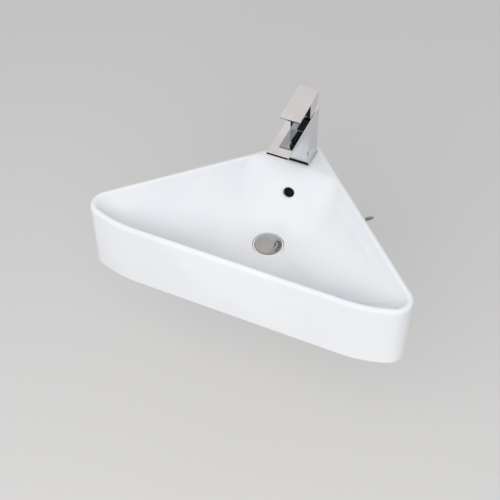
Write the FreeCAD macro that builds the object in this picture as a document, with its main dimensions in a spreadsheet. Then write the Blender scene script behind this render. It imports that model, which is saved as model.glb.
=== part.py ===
import FreeCAD, Part
import math
import os

import Sketcher

# Corner basin with its tap, pop-up waste and wall fixings.
# Millimetres. The origin is where the two wall planes and the rim plane meet. +X is to the right
# for someone facing the corner, +Y points into the corner and +Z is up. The walls are y = -|x|.

os.makedirs("parts", exist_ok=True)
doc = FreeCAD.newDocument("corner_basin")
UP = FreeCAD.Vector(0, 0, 1)
ACROSS = FreeCAD.Vector(1, 0, 0)
ROOT_HALF = math.sqrt(0.5)

# ---------------------------------------------------------------- driving dimensions

DRIVING = [
    # basin, seen from above
    ("wall_side", 500, "side along each wall"),
    ("end_radius", 37, "rounding where a side meets the front"),
    ("blend_radius", 270, "gentle rounding at each end of the front"),
    ("front_stand_off", 14.5, "how far the front stands out past the end roundings"),
    ("rear_radius", 15, "rounding in the corner of the walls"),
    ("inner_rear_radius", 8, "the same rounding inside the skirt"),
    # basin, seen from the side
    ("skirt_height", 156, "rim to bottom edge"),
    ("skirt_wall", 12, "thickness of the skirt"),
    ("deck_thickness", 14, "thickness of the tap deck"),
    ("edge_rounding", 5, "rounding of the rim's outer edge and of the bottom edge"),
    ("bowl_edge_rounding", 4, "rounding of the bowl's edge"),
    # bowl
    ("rim_width", 12, "flat rim at the sides and the front"),
    ("deck_depth", 110, "corner of the walls to the front edge of the tap deck"),
    ("bowl_depth", 100, "rim to bowl floor"),
    ("bowl_fullness", 0.985, "share of each wall curve that is used"),
    ("side_run", 164.2, "side wall curve: how far it would come in"),
    ("side_power", 1.28, "side wall curve: how late it leans in"),
    ("side_root", 0.43, "side wall curve: how sharply it turns into the floor"),
    ("front_run", 351, "front wall curve, as for the side"),
    ("front_power", 3.26, "front wall curve"),
    ("front_root", 0.115, "front wall curve"),
    ("back_run", 119.9, "back wall curve, as for the side"),
    ("back_power", 1.42, "back wall curve"),
    ("back_root", 0.72, "back wall curve"),
    ("back_bend", 14, "upright rounding where the bowl's back meets a side"),
    ("back_bend_growth", 10, "how much that rounding grows towards the floor"),
    ("bowl_shell", 8, "thickness of the bowl's walls"),
    ("floor_shell", 10, "thickness of the bowl's floor"),
    # waste outlet in the basin
    ("waste_place", 241, "corner of the walls to the waste"),
    ("boss_radius", 38, "boss under the waste hole"),
    ("boss_drop", 138, "rim to the underside of the boss"),
    ("waste_hole_radius", 23, "waste hole"),
    ("recess_radius", 33, "recess round the waste flange"),
    ("recess_drop", 102, "rim to the top of the recess"),
    ("recess_wall", 2.6, "height of the recess's upright wall"),
    ("seat_fall", 0.6, "fall of the conical seat, per unit of radius"),
    ("dish_radius", 55, "shallow dish round the recess"),
    ("dish_rise", 22, "height of the dish"),
    # overflow
    ("overflow_radius", 12, "overflow hole"),
    ("overflow_place", 135, "corner of the walls to the overflow"),
    ("overflow_drop", 42, "rim to the overflow's centre"),
    ("panel_lean", 36.6, "lean of the bowl's back, degrees from upright"),
    ("duct_width", 28, "overflow duct, across"),
    ("duct_gap", 14, "overflow duct, deep"),
    ("duct_skin", 6, "wall between the bowl and the duct"),
    ("duct_wall", 9, "outer wall of the duct"),
    ("duct_rise", 20, "duct above the overflow's centre"),
    ("duct_fall", 28, "duct below the overflow's centre"),
    ("duct_turn", 58, "waste axis to the duct's turn"),
    ("duct_end", 19, "waste axis to the duct's end, inside the waste hole"),
    ("duct_drop", 127, "rim to the duct's lowest point"),
    ("duct_tilt", 5, "fall of the duct's last stretch"),
    # tap hole and wall fixings
    ("tap_place", 66, "corner of the walls to the tap hole"),
    ("tap_hole_radius", 17.5, "tap hole"),
    ("fixing_place", 190, "corner to each wall fixing, along the wall"),
    ("fixing_drop", 85, "rim to the wall fixings"),
    ("fixing_hole_radius", 8, "wall fixing hole"),
    ("bolt_radius", 4.95, "M10 hanger bolt"),
    ("bolt_in_wall", 60, "length of a bolt in the wall"),
    ("bolt_shoulder", 2, "wall face to the shoulder of a bolt"),
    ("bolt_wall_radius", 4.5, "a bolt's thread in the wall"),
    ("bolt_end", 4, "bolt past its nut"),
    ("bolt_clearance", 0.15, "bolt in bush and washer"),
    ("thread_clearance", 0.05, "a thread in its nut"),
    ("bush_clearance", 0.1, "bush in the wall hole"),
    ("bush_flange_radius", 14, "bush flange"),
    ("bush_flange", 3, "bush flange thickness"),
    ("washer_radius", 12, "fixing washer"),
    ("washer_thickness", 2, "fixing washer thickness"),
    ("nut_flats", 17, "M10 nut across its flats"),
    ("nut_height", 8, "M10 nut"),
    # pop-up waste
    ("flange_radius", 32, "waste flange"),
    ("flange_top_drop", 101.6, "rim to the top of the flange"),
    ("flange_edge", 1.6, "thickness of the flange at its edge"),
    ("gasket_play", 0.1, "gap on each face of the waste gasket"),
    ("tail_radius", 20.95, "1 1/4 inch tail thread"),
    ("tail_bore_radius", 17.6, "bore of the tail"),
    ("tail_end_drop", 190, "rim to the end of the tail"),
    ("tail_relief", 0.5, "depth of the groove where the trap's thread starts"),
    ("tail_relief_width", 1.5, "width of that groove"),
    ("tail_relief_gap", 3, "back nut to that groove"),
    ("cone_skin", 1.8, "thickness of the flange's cone"),
    ("slot_width", 9, "overflow slots in the tail"),
    ("slot_height", 15, "overflow slots in the tail"),
    ("slot_top_drop", 113, "rim to the top of the slots"),
    ("crossbar_width", 7, "crossbar in the tail"),
    ("crossbar_height", 6, "crossbar in the tail"),
    ("crossbar_hub_radius", 8, "hub of the crossbar"),
    ("cap_radius", 28, "waste cap"),
    ("cap_edge", 1.6, "thickness of the cap at its edge"),
    ("cap_crown", 2, "rise of the cap's middle"),
    ("cap_travel", 8, "how far the cap rises"),
    ("cap_boss_radius", 6, "boss under the cap"),
    ("cap_boss", 5, "height of the boss under the cap"),
    ("cap_seal_radius", 25.4, "ring under the cap"),
    ("cap_seal_width", 4.4, "ring under the cap"),
    ("cap_seal_height", 1.8, "ring under the cap"),
    ("stem_radius", 3, "waste stem"),
    ("stem_fit", 0.02, "stem in the cap's boss"),
    ("stem_clearance", 0.06, "stem in the cartridge's neck"),
    ("stem_foot_radius", 4.6, "foot of the stem"),
    ("stem_foot", 2, "height of the stem's foot"),
    ("click_radius", 7, "click cartridge"),
    ("click_bore_radius", 5, "bore of the click cartridge"),
    ("click_top_drop", 112, "rim to the top of the click cartridge"),
    ("click_end_drop", 140, "rim to the crossbar under the click cartridge"),
    ("click_lid", 3, "thickness of the click cartridge's ends"),
    ("click_tail_radius", 4, "thread under the click cartridge"),
    ("click_tail", 9, "length of that thread"),
    ("spring_length", 6, "spring with the cap closed"),
    ("spring_mean_radius", 3.9, "spring"),
    ("spring_wire_radius", 0.45, "spring"),
    ("spring_turns", 3, "spring"),
    ("spring_play", 0.25, "gap at each end of the spring"),
    ("lower_gasket_radius", 34, "rubber washer under the boss"),
    ("lower_gasket_height", 4, "rubber washer under the boss"),
    ("slip_washer_height", 1.5, "plastic washer above the back nut"),
    ("backnut_flats", 58, "back nut across its flats"),
    ("backnut_height", 10, "back nut"),
    ("tail_clearance", 0.15, "washers on the tail"),
    # tap
    ("tap_width", 45, "column and spout, across"),
    ("tap_back", 42, "corner of the walls to the column's back"),
    ("tap_front", 90, "corner of the walls to the column's front"),
    ("tap_height", 123.5, "rim to the column's top at the back"),
    ("top_slope", 2.967, "fall of the top towards the front, degrees"),
    ("spout_reach", 206, "corner of the walls to the spout's tip"),
    ("spout_tip", 3.4, "thickness of the spout's tip"),
    ("spout_root", 98, "rim to the underside of the spout at the column"),
    ("tap_edge", 0.8, "rounding of the tap's edges"),
    ("seal_height", 1.5, "rubber under the plinth"),
    ("seal_inset", 0.7, "rubber set back from the plinth's edge"),
    ("plinth_height", 6, "plinth"),
    ("plinth_overhang", 1, "plinth past the column, all round"),
    ("plinth_bore_radius", 16, "hole in the plinth"),
    ("groove", 1, "shadow groove between the column and the plinth"),
    ("chamber_radius", 17.5, "chamber for the cartridge"),
    ("chamber_depth", 38, "chamber for the cartridge"),
    ("inlet_radius", 4.5, "threaded inlets"),
    ("inlet_thread", 15, "length of the inlets' thread"),
    ("inlet_passage_radius", 4.7, "cast passage from an inlet to the cartridge"),
    ("inlet_spread", 7, "middle to each inlet"),
    ("inlet_forward", 3, "inlets in front of the chamber's axis"),
    ("stud_radius", 3.95, "M8 stud"),
    ("stud_rearward", 12, "stud behind the chamber's axis"),
    ("stud_in_body", 14, "stud in the column"),
    ("stud_drop", 46, "rim to the stud's lower end"),
    ("waterway_width", 12, "passage to the spout"),
    ("waterway_height", 5, "passage at the chamber"),
    ("waterway_drop", 15, "top of the column to the passage, at the chamber"),
    ("waterway_end_height", 2, "passage at the spout's end"),
    ("aerator_setback", 26, "spout's tip to the aerator"),
    ("aerator_radius", 9.2, "hole for the aerator"),
    ("spout_skin", 2.6, "metal above the aerator"),
    ("aerator_play", 0.1, "aerator in its hole"),
    ("aerator_wall", 2.2, "aerator ring"),
    ("aerator_height", 7.2, "aerator ring"),
    ("aerator_seal_height", 0.8, "ring above the aerator"),
    ("insert_height", 4.6, "aerator insert"),
    ("insert_hole_radius", 0.9, "holes in the aerator insert"),
    ("insert_ring_radius", 4, "circle of holes in the aerator insert"),
    ("insert_holes", 8, "holes on that circle"),
    ("clamp_radius", 25, "clamp plate under the deck"),
    ("clamp_thickness", 2.5, "clamp plate, and the rubber on it"),
    ("clamp_slot", 26, "slot of the horseshoe"),
    ("clamp_bridge", 5, "slot to the chamber's axis, rearward"),
    ("clamp_nut_flats", 13, "M8 nut across its flats"),
    ("clamp_nut_height", 12, "M8 nut"),
    # cartridge, measured down from the column's top
    ("cartridge_play", 0.1, "cartridge in its chamber"),
    ("seat_seal", 1, "rubber under the cartridge"),
    ("housing_floor", 5, "floor of the cartridge housing"),
    ("housing_top", 9, "column's top to the top of the housing"),
    ("rotor_radius", 11.8, "rotor"),
    ("rotor_clearance", 0.08, "rotor in the housing"),
    ("rotor_top", 0.6, "column's top to the rotor's top"),
    ("rotor_end", 16, "column's top to the rotor's lower end"),
    ("rotor_slot_width", 8.3, "slot for the spindle, across"),
    ("rotor_slot_length", 16, "slot for the spindle, along"),
    ("outlet_radius", 3, "outlet in the side of the housing"),
    ("port_radius", 2.6, "ports in the housing's floor and the discs"),
    ("port_share", 0.8, "ports' spread, as a share of the inlets'"),
    ("disc_height", 3.5, "fixed ceramic disc"),
    ("disc_play", 0.05, "film between the discs"),
    ("slider_radius", 7.8, "moving ceramic disc and its carrier"),
    ("slider_travel", 3.6, "how far the moving disc slides"),
    ("slider_gap", 0.4, "moving disc below the rotor"),
    ("slider_socket_radius", 3.7, "socket for the spindle's end"),
    ("slider_socket", 4, "depth of that socket"),
    ("nut_bore_radius", 12.4, "bore of the cartridge nut and the trim ring"),
    ("trim_radius", 20.1, "trim ring"),
    ("trim_height", 2.3, "trim ring"),
    ("pivot_drop", 5, "column's top to the tilt axis"),
    ("pin_radius", 2, "spindle pin"),
    ("pin_fit", 0.03, "pin in the rotor"),
    ("pin_clearance", 0.06, "pin in the spindle"),
    ("pin_half", 10, "half the pin's length"),
    ("spindle_side", 8, "square spindle"),
    ("spindle_fit", 0.1, "spindle in the lever"),
    ("spindle_top", 22, "column's top to the spindle's top"),
    ("spindle_square_end", 12, "column's top to the end of the square"),
    ("spindle_end", 18, "column's top to the spindle's lower end"),
    ("nub_radius", 3, "round lower end of the spindle"),
    # lever
    ("lever_width", 43.5, "hub and blade, across"),
    ("lever_back", 47, "corner of the walls to the lever's back edge"),
    ("lever_foot_back", 57.6, "corner of the walls to the back of the hub's foot"),
    ("lever_hub_front", 89, "corner of the walls to the hub's front"),
    ("lever_reach", 147, "corner of the walls to the blade's tip"),
    ("lever_height", 166, "rim to the lever's back edge"),
    ("lever_slope", 4, "fall of the blade, degrees"),
    ("blade", 3.3, "thickness of the blade"),
    ("lever_gap", 3, "lever above the column"),
    ("screw_height", 13, "column's top to the lever screw"),
    ("screw_radius", 2.5, "lever screw"),
    ("screw_length", 5, "lever screw"),
    ("screw_play", 0.05, "lever screw in its hole"),
    ("plug_length", 2, "plug over the lever screw"),
]

sheet = doc.addObject("Spreadsheet::Sheet", "dims")
for row, (alias, number, meaning) in enumerate(DRIVING, start=1):
    sheet.set(f"A{row}", meaning)
    sheet.set(f"B{row}", str(number))
    sheet.setAlias(f"B{row}", alias)
worked_sheet = doc.addObject("Spreadsheet::Sheet", "worked")
doc.recompute()


class Size:
    """A number together with the sheet expression that gives it."""

    def __init__(self, value, text):
        self.value = value
        self.text = text

    def __add__(self, other):
        other = as_size(other)
        return Size(self.value + other.value, f"({self.text} + {other.text})")

    def __sub__(self, other):
        other = as_size(other)
        return Size(self.value - other.value, f"({self.text} - {other.text})")

    def __mul__(self, other):
        other = as_size(other)
        return Size(self.value * other.value, f"({self.text} * {other.text})")

    def __truediv__(self, other):
        other = as_size(other)
        return Size(self.value / other.value, f"({self.text} / {other.text})")

    def __pow__(self, other):
        other = as_size(other)
        return Size(self.value ** other.value, f"pow({self.text}; {other.text})")

    def __neg__(self):
        return Size(-self.value, f"(0 - {self.text})")

    def __radd__(self, other):
        return as_size(other) + self

    def __rsub__(self, other):
        return as_size(other) - self

    def __rmul__(self, other):
        return as_size(other) * self


def as_size(number):
    """A plain number as a Size."""
    return number if isinstance(number, Size) else Size(float(number), repr(float(number)))


def root(size):
    return Size(math.sqrt(size.value), f"sqrt({size.text})")


def sine(degrees):
    return Size(math.sin(math.radians(degrees.value)), f"sin({degrees.text})")


def cosine(degrees):
    return Size(math.cos(math.radians(degrees.value)), f"cos({degrees.text})")


def tangent(degrees):
    return Size(math.tan(math.radians(degrees.value)), f"tan({degrees.text})")


def worked(name, size):
    """Keep a worked-out size in its own named cell, so that others can refer to it."""
    size = as_size(size)
    worked.rows += 1
    cell = f"B{worked.rows}"
    worked_sheet.set(f"A{worked.rows}", name)
    worked_sheet.set(cell, "=" + size.text)
    worked_sheet.setAlias(cell, name)
    return Size(size.value, f"worked.{name}")


worked.rows = 0


class Sizes:
    """The driving dimensions by name."""

    def __init__(self):
        for alias, number, _ in DRIVING:
            setattr(self, alias, Size(float(number), f"dims.{alias}"))


d = Sizes()
NONE = as_size(0)

# ---------------------------------------------------------------- drawing and building

pieces = []


def bind(thing, path, size):
    """Tie a property of an object to a size."""
    thing.setExpression(path, as_size(size).text)


def new_body(label):
    body = doc.addObject("PartDesign::Body", label)
    body.Label = label
    return body


def origin_plane(body, role):
    return next(item for item in body.Origin.OriginFeatures if item.Role == role)


def sketch_on(body, name, role, shift=(0, 0, 0), turn=None, axis=ACROSS):
    """A sketch on one of the body's own planes, moved and turned in that plane's frame."""
    sketch = body.newObject("Sketcher::SketchObject", name)
    sketch.AttachmentSupport = [(origin_plane(body, role), "")]
    sketch.MapMode = "FlatFace"
    shift = [as_size(part) for part in shift]
    turn = as_size(0 if turn is None else turn)
    sketch.AttachmentOffset = FreeCAD.Placement(
        FreeCAD.Vector(*[part.value for part in shift]), FreeCAD.Rotation(axis, turn.value))
    for letter, part in zip("xyz", shift):
        if part.value or "dims" in part.text:
            bind(sketch, f"AttachmentOffset.Base.{letter}", part)
    if "dims" in turn.text:
        bind(sketch, "AttachmentOffset.Rotation.Angle", turn)
    return sketch


def add_constraints(sketch, wanted):
    """Add constraints; each is (kind, arguments, size or None)."""
    first = sketch.ConstraintCount
    made = []
    for kind, arguments, size in wanted:
        values = arguments if size is None else (*arguments, size.value)
        made.append(Sketcher.Constraint(kind, *values))
    sketch.addConstraint(made)
    for index, (_, _, size) in enumerate(wanted, start=first):
        if size is not None and "." in size.text and not size.text.replace(".", "").isdigit():
            bind(sketch, f"Constraints[{index}]", size)


def draw(sketch, corners):
    """Draw a closed loop. A corner is (x, y), or (x, y, r) where an arc of radius r leaves it.

    A positive radius turns left and a negative one turns right.
    """
    corners = [tuple(as_size(part) for part in corner) for corner in corners]
    spots = [FreeCAD.Vector(corner[0].value, corner[1].value, 0) for corner in corners]
    ends = []
    wanted = []
    for index, corner in enumerate(corners):
        start, end = spots[index], spots[(index + 1) % len(spots)]
        if len(corner) == 2:
            edge = sketch.addGeometry(Part.LineSegment(start, end), False)
            ends.append((edge, 1, 2))
            continue
        radius = abs(corner[2].value)
        left = corner[2].value > 0
        half = (end - start) * 0.5
        reach = math.sqrt(max(radius ** 2 - half.Length ** 2, 0)) / half.Length
        aside = FreeCAD.Vector(-half.y, half.x, 0) * (reach if left else -reach)
        centre = start + half + aside
        begin, finish = (start, end) if left else (end, start)
        angles = [math.atan2(spot.y - centre.y, spot.x - centre.x) for spot in (begin, finish)]
        if angles[1] < angles[0]:
            angles[1] += 2 * math.pi
        arc = Part.ArcOfCircle(Part.Circle(centre, UP, radius), *angles)
        edge = sketch.addGeometry(arc, False)
        ends.append((edge, 1, 2) if left else (edge, 2, 1))
        wanted.append(("Radius", (edge,), corner[2] if left else -corner[2]))
    for index, (edge, start, _) in enumerate(ends):
        before, _, finish = ends[index - 1]
        wanted.append(("Coincident", (before, finish, edge, start), None))
        wanted.append(("DistanceX", (-1, 1, edge, start), corners[index][0]))
        wanted.append(("DistanceY", (-1, 1, edge, start), corners[index][1]))
    add_constraints(sketch, wanted)


def ring(sketch, x, y, radius):
    """Draw a circle."""
    x, y, radius = as_size(x), as_size(y), as_size(radius)
    centre = FreeCAD.Vector(x.value, y.value, 0)
    edge = sketch.addGeometry(Part.Circle(centre, UP, radius.value), False)
    add_constraints(sketch, [("DistanceX", (-1, 1, edge, 3), x), ("DistanceY", (-1, 1, edge, 3), y),
                             ("Radius", (edge,), radius)])


def box_corners(x_low, x_high, y_low, y_high):
    return [(x_low, y_low), (x_high, y_low), (x_high, y_high), (x_low, y_high)]


def hexagon(flats):
    """Corners of a hexagon from its size across the flats."""
    half = as_size(flats) * 0.5
    point = half * (2 / math.sqrt(3))
    side = half * (1 / math.sqrt(3))
    return [(point, NONE), (side, half), (-side, half), (-point, NONE), (-side, -half), (side, -half)]


def extrude(kind, body, sketch, length, centred=False, backwards=False):
    """A pad or a pocket of a sketch; centred goes half to each side of the sketch's plane."""
    feature = body.newObject("PartDesign::" + kind, f"{sketch.Name}_{kind.lower()}")
    feature.Profile = sketch
    length = as_size(length)
    feature.Length = length.value
    bind(feature, "Length", length)
    feature.SideType = "Symmetric" if centred else "One side"
    feature.Reversed = backwards
    sketch.Visibility = False
    doc.recompute()
    return feature


def pad(body, sketch, length, **options):
    return extrude("Pad", body, sketch, length, **options)


def pocket(body, sketch, length, **options):
    before = body.Shape.Volume
    feature = extrude("Pocket", body, sketch, length, **options)
    if not body.Shape.Volume < before - 1e-6:
        raise RuntimeError(f"{feature.Name} cuts nothing")
    return feature


def revolve(kind, body, sketch):
    """A full turn of a sketch about its own upright axis."""
    feature = body.newObject("PartDesign::" + kind, f"{sketch.Name}_{kind.lower()}")
    feature.Profile = sketch
    feature.ReferenceAxis = (sketch, ["V_Axis"])
    feature.Angle = 360
    doc.recompute()
    return feature


def round_edges(body, name, radius, wanted):
    """Fillet the edges of the body's present shape that the test picks."""
    base = body.Tip
    names = [f"Edge{index}" for index, edge in enumerate(base.Shape.Edges, start=1) if wanted(edge)]
    feature = body.newObject("PartDesign::Fillet", name)
    feature.Base = (base, names)
    feature.Radius = as_size(radius).value
    bind(feature, "Radius", radius)
    doc.recompute()
    return feature


def place(thing, x=0, y=0, z=0, turn=None, axis=ACROSS):
    """Put a piece where it belongs."""
    spot = [as_size(part) for part in (x, y, z)]
    turn = as_size(0 if turn is None else turn)
    thing.Placement = FreeCAD.Placement(
        FreeCAD.Vector(*[part.value for part in spot]), FreeCAD.Rotation(axis, turn.value))
    for letter, part in zip("xyz", spot):
        bind(thing, f"Placement.Base.{letter}", part)
    if "dims" in turn.text:
        bind(thing, "Placement.Rotation.Angle", turn)


def keep(thing):
    pieces.append(thing)
    return thing


def turned(label, profile):
    """A piece of revolution about Z; the profile's corners are (radius, height)."""
    body = new_body(label)
    sketch = sketch_on(body, label + "_profile", "XZ_Plane")
    draw(sketch, profile)
    revolve("Revolution", body, sketch)
    return body


def tube_profile(outer, inner, low, high):
    return [(inner, low), (outer, low), (outer, high), (inner, high)]


def hex_nut(label, flats, bore, low, high):
    """A hexagon nut from low to high on the Z axis."""
    body = new_body(label)
    sketch = sketch_on(body, label + "_flats", "XY_Plane", (0, 0, low))
    draw(sketch, hexagon(flats))
    ring(sketch, 0, 0, bore)
    pad(body, sketch, as_size(high) - low)
    return body


# ---------------------------------------------------------------- basin outlines

def plan(name, side, front, end, blend, stand_off):
    """Sizes of one level of the basin, for walls set in by side and a front set in by front."""
    depth = d.wall_side * ROOT_HALF + d.end_radius + d.front_stand_off
    front_line = worked(name + "_front", depth - front)
    end_y = worked(name + "_end_y", front_line - end - stand_off)
    end_x = worked(name + "_end_x", end_y - (side + end) * math.sqrt(2))
    reach = worked(name + "_reach", stand_off * ((blend - end) * 2 - stand_off))
    straight = worked(name + "_straight", end_x - root(reach))
    join_x = worked(name + "_join_x", straight + blend * (end_x - straight) / (blend - end))
    join_y = worked(name + "_join_y", front_line - blend * stand_off / (blend - end))
    side_x = worked(name + "_side_x", end_x + end * ROOT_HALF)
    side_y = worked(name + "_side_y", end_y - end * ROOT_HALF)
    return {
        "front": [(-side_x, -side_y, end), (-join_x, -join_y, blend), (-straight, -front_line),
                  (straight, -front_line, blend), (join_x, -join_y, end), (side_x, -side_y)],
        "side": side,
    }


def to_the_corner(level, radius):
    """Close a level in the corner of the walls with a rounding."""
    touch_x = radius * ROOT_HALF
    touch_y = level["side"] * math.sqrt(2) + radius * ROOT_HALF
    return level["front"] + [(touch_x, -touch_y, radius), (-touch_x, -touch_y)]


def to_the_back(name, level, back, bend):
    """Close a level with a straight back and a rounding at each of its ends."""
    corner_x = worked(name + "_corner_x", back - level["side"] * math.sqrt(2))
    touch = worked(name + "_touch", bend * math.tan(math.radians(22.5)))
    slant = touch * ROOT_HALF
    return level["front"] + [(corner_x + slant, -(back + slant), bend), (corner_x - touch, -back),
                             (touch - corner_x, -back, bend), (-(corner_x + slant), -(back + slant))]


def wall_curve(share, run, power, bend):
    """How far a bowl wall has come in at a share of the bowl's depth."""
    return run * (1 - (1 - (share * d.bowl_fullness) ** power) ** bend)


LEVEL_SHARES = (0, 0.2, 0.4, 0.6, 0.76, 0.88, 0.95, 1)


def bowl_level(name, share, thicker):
    """Corners of the bowl at a share of its depth, widened by a wall thickness."""
    late = share ** 4
    side = worked(name + "_side", d.rim_width - thicker
                  + wall_curve(share, d.side_run, d.side_power, d.side_root))
    front = worked(name + "_front_in", d.rim_width - thicker
                   + wall_curve(share, d.front_run, d.front_power, d.front_root))
    back = worked(name + "_back", d.deck_depth - thicker
                  + wall_curve(share, d.back_run, d.back_power, d.back_root))
    end = worked(name + "_end", (d.end_radius - d.rim_width) * (1 + share - 1.2 * late) + thicker)
    blend = worked(name + "_blend", (d.blend_radius - d.rim_width) * (1 - 0.77 * late) + thicker)
    stand_off = worked(name + "_stand_off", d.front_stand_off * (1 - 0.9 * late))
    bend = worked(name + "_bend", d.back_bend + d.back_bend_growth * share)
    return to_the_back(name, plan(name, side, front, end, blend, stand_off), back, bend)


def loft(kind, body, name, drop, thicker):
    """A loft down through the bowl's levels."""
    sections = []
    for index, share in enumerate(LEVEL_SHARES):
        section = f"{name}_{index}"
        depth = d.bowl_depth * share + drop
        sketch = sketch_on(body, section, "XY_Plane", (0, 0, -depth))
        draw(sketch, bowl_level(section, share, thicker))
        sections.append(sketch)
    feature = body.newObject("PartDesign::" + kind, name)
    feature.Profile = sections[0]
    feature.Sections = sections[1:]
    feature.Ruled = False
    doc.recompute()
    return feature


# ---------------------------------------------------------------- basin

def behind_panel(rise, depth):
    """A point in the YZ plane: up along the bowl's back from the overflow, then behind it."""
    lean_sine, lean_cosine = sine(d.panel_lean), cosine(d.panel_lean)
    return (-d.overflow_place + rise * lean_sine + depth * lean_cosine,
            -d.overflow_drop + rise * lean_cosine - depth * lean_sine)


def under_floor(from_waste, drop):
    """A point in the YZ plane: behind the waste axis and below the rim."""
    return (from_waste - d.waste_place, -drop)


def make_basin():
    basin = new_body("basin")

    outline = sketch_on(basin, "outline", "XY_Plane")
    level = plan("outer", NONE, NONE, d.end_radius, d.blend_radius, d.front_stand_off)
    draw(outline, to_the_corner(level, d.rear_radius))
    pad(basin, outline, d.skirt_height, backwards=True)
    round_edges(basin, "skirt_edges", d.edge_rounding, lambda edge: edge.BoundBox.ZLength < 1e-6)

    hollow = sketch_on(basin, "hollow", "XY_Plane", (0, 0, -d.skirt_height))
    level = plan("inner", d.skirt_wall, d.skirt_wall, d.end_radius - d.skirt_wall,
                 d.blend_radius - d.skirt_wall, d.front_stand_off)
    draw(hollow, to_the_corner(level, d.inner_rear_radius))
    pocket(basin, hollow, d.skirt_height - d.deck_thickness, backwards=True)

    loft("AdditiveLoft", basin, "bowl_outside", d.floor_shell, d.bowl_shell)

    boss = sketch_on(basin, "boss", "XY_Plane", (0, 0, -d.bowl_depth))
    ring(boss, 0, -d.waste_place, d.boss_radius)
    pad(basin, boss, d.boss_drop - d.bowl_depth, backwards=True)

    behind = d.duct_skin + d.duct_gap
    duct = sketch_on(basin, "duct", "YZ_Plane")
    draw(duct, [
        behind_panel(d.duct_rise + d.duct_wall, NONE),
        behind_panel(-d.duct_fall, NONE),
        under_floor(d.duct_turn, d.bowl_depth - d.floor_shell),
        under_floor(d.duct_end, d.bowl_depth),
        under_floor(d.duct_end, d.duct_drop + d.duct_wall),
        under_floor(d.duct_turn + d.duct_wall * 0.5, d.duct_drop - d.duct_tilt + d.duct_wall),
        behind_panel(-d.duct_fall, behind + d.duct_wall),
        behind_panel(d.duct_rise + d.duct_wall, behind + d.duct_wall),
    ])
    pad(basin, duct, d.duct_width + d.duct_wall * 2, centred=True)

    loft("SubtractiveLoft", basin, "bowl", NONE, NONE)

    void = sketch_on(basin, "duct_void", "YZ_Plane")
    draw(void, [
        behind_panel(d.duct_rise, d.duct_skin),
        behind_panel(-d.duct_fall, d.duct_skin),
        under_floor(d.duct_turn, d.duct_drop - d.duct_tilt - d.duct_gap),
        under_floor(d.duct_end, d.duct_drop - d.duct_gap),
        under_floor(d.duct_end, d.duct_drop),
        under_floor(d.duct_turn, d.duct_drop - d.duct_tilt),
        behind_panel(-d.duct_fall, behind),
        behind_panel(d.duct_rise, behind),
    ])
    pocket(basin, void, d.duct_width, centred=True)

    # The overflow hole runs square to the bowl's back, from in front of it into the duct.
    start_y, start_z = behind_panel(NONE, -d.duct_gap)
    overflow = sketch_on(basin, "overflow", "XZ_Plane", (0, start_z, -start_y), -d.panel_lean)
    ring(overflow, 0, 0, d.overflow_radius)
    pocket(basin, overflow, behind + d.duct_gap * 0.5)

    outlet = sketch_on(basin, "outlet", "XZ_Plane", (0, 0, d.waste_place))
    seat_top = d.recess_drop + d.recess_wall
    seat_end = seat_top + (d.recess_radius - d.waste_hole_radius) * d.seat_fall
    draw(outlet, [
        (NONE, d.dish_rise - d.recess_drop), (NONE, -(d.boss_drop + d.floor_shell)),
        (d.waste_hole_radius, -(d.boss_drop + d.floor_shell)), (d.waste_hole_radius, -seat_end),
        (d.recess_radius, -seat_top), (d.recess_radius, -d.recess_drop),
        (d.dish_radius, d.dish_rise - d.recess_drop),
    ])
    revolve("Groove", basin, outlet)

    tap_hole = sketch_on(basin, "tap_hole", "XY_Plane")
    ring(tap_hole, 0, -d.tap_place, d.tap_hole_radius)
    pocket(basin, tap_hole, d.deck_thickness * 1.5)

    for side, hand in ((1, "right"), (-1, "left")):
        along = d.fixing_place * ROOT_HALF
        hole = sketch_on(basin, f"fixing_{hand}", "XY_Plane", (along * side, -along, -d.fixing_drop),
                         90, FreeCAD.Vector(-1, side, 0))
        ring(hole, 0, 0, d.fixing_hole_radius)
        pocket(basin, hole, d.skirt_wall * 1.5)

    edge_line = d.bowl_edge_rounding.value

    def on_bowl_edge(edge):
        box = edge.BoundBox
        flat = box.ZLength < 1e-6 and abs(box.ZMax) < 1e-6
        if not flat or box.YMin > -d.deck_depth.value + edge_line:
            return False
        middle = edge.valueAt((edge.FirstParameter + edge.LastParameter) / 2)
        inside = (-middle.y - abs(middle.x)) * ROOT_HALF
        return inside > d.rim_width.value - 0.1

    round_edges(basin, "bowl_edge", d.bowl_edge_rounding, on_bowl_edge)
    return keep(basin)


# ---------------------------------------------------------------- wall fixings

def pair(label, body):
    """Put a piece on the right wall's fixing axis and add its mirror image on the left."""
    along = d.fixing_place * ROOT_HALF
    place(body, along, -along, -d.fixing_drop, 90, FreeCAD.Vector(-1, 1, 0))
    twin = doc.addObject("Part::Mirroring", label + "_left")
    twin.Source = body
    twin.Normal = ACROSS
    both = doc.addObject("Part::Compound", label)
    both.Label = label
    both.Links = [body, twin]
    return keep(both)


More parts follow.
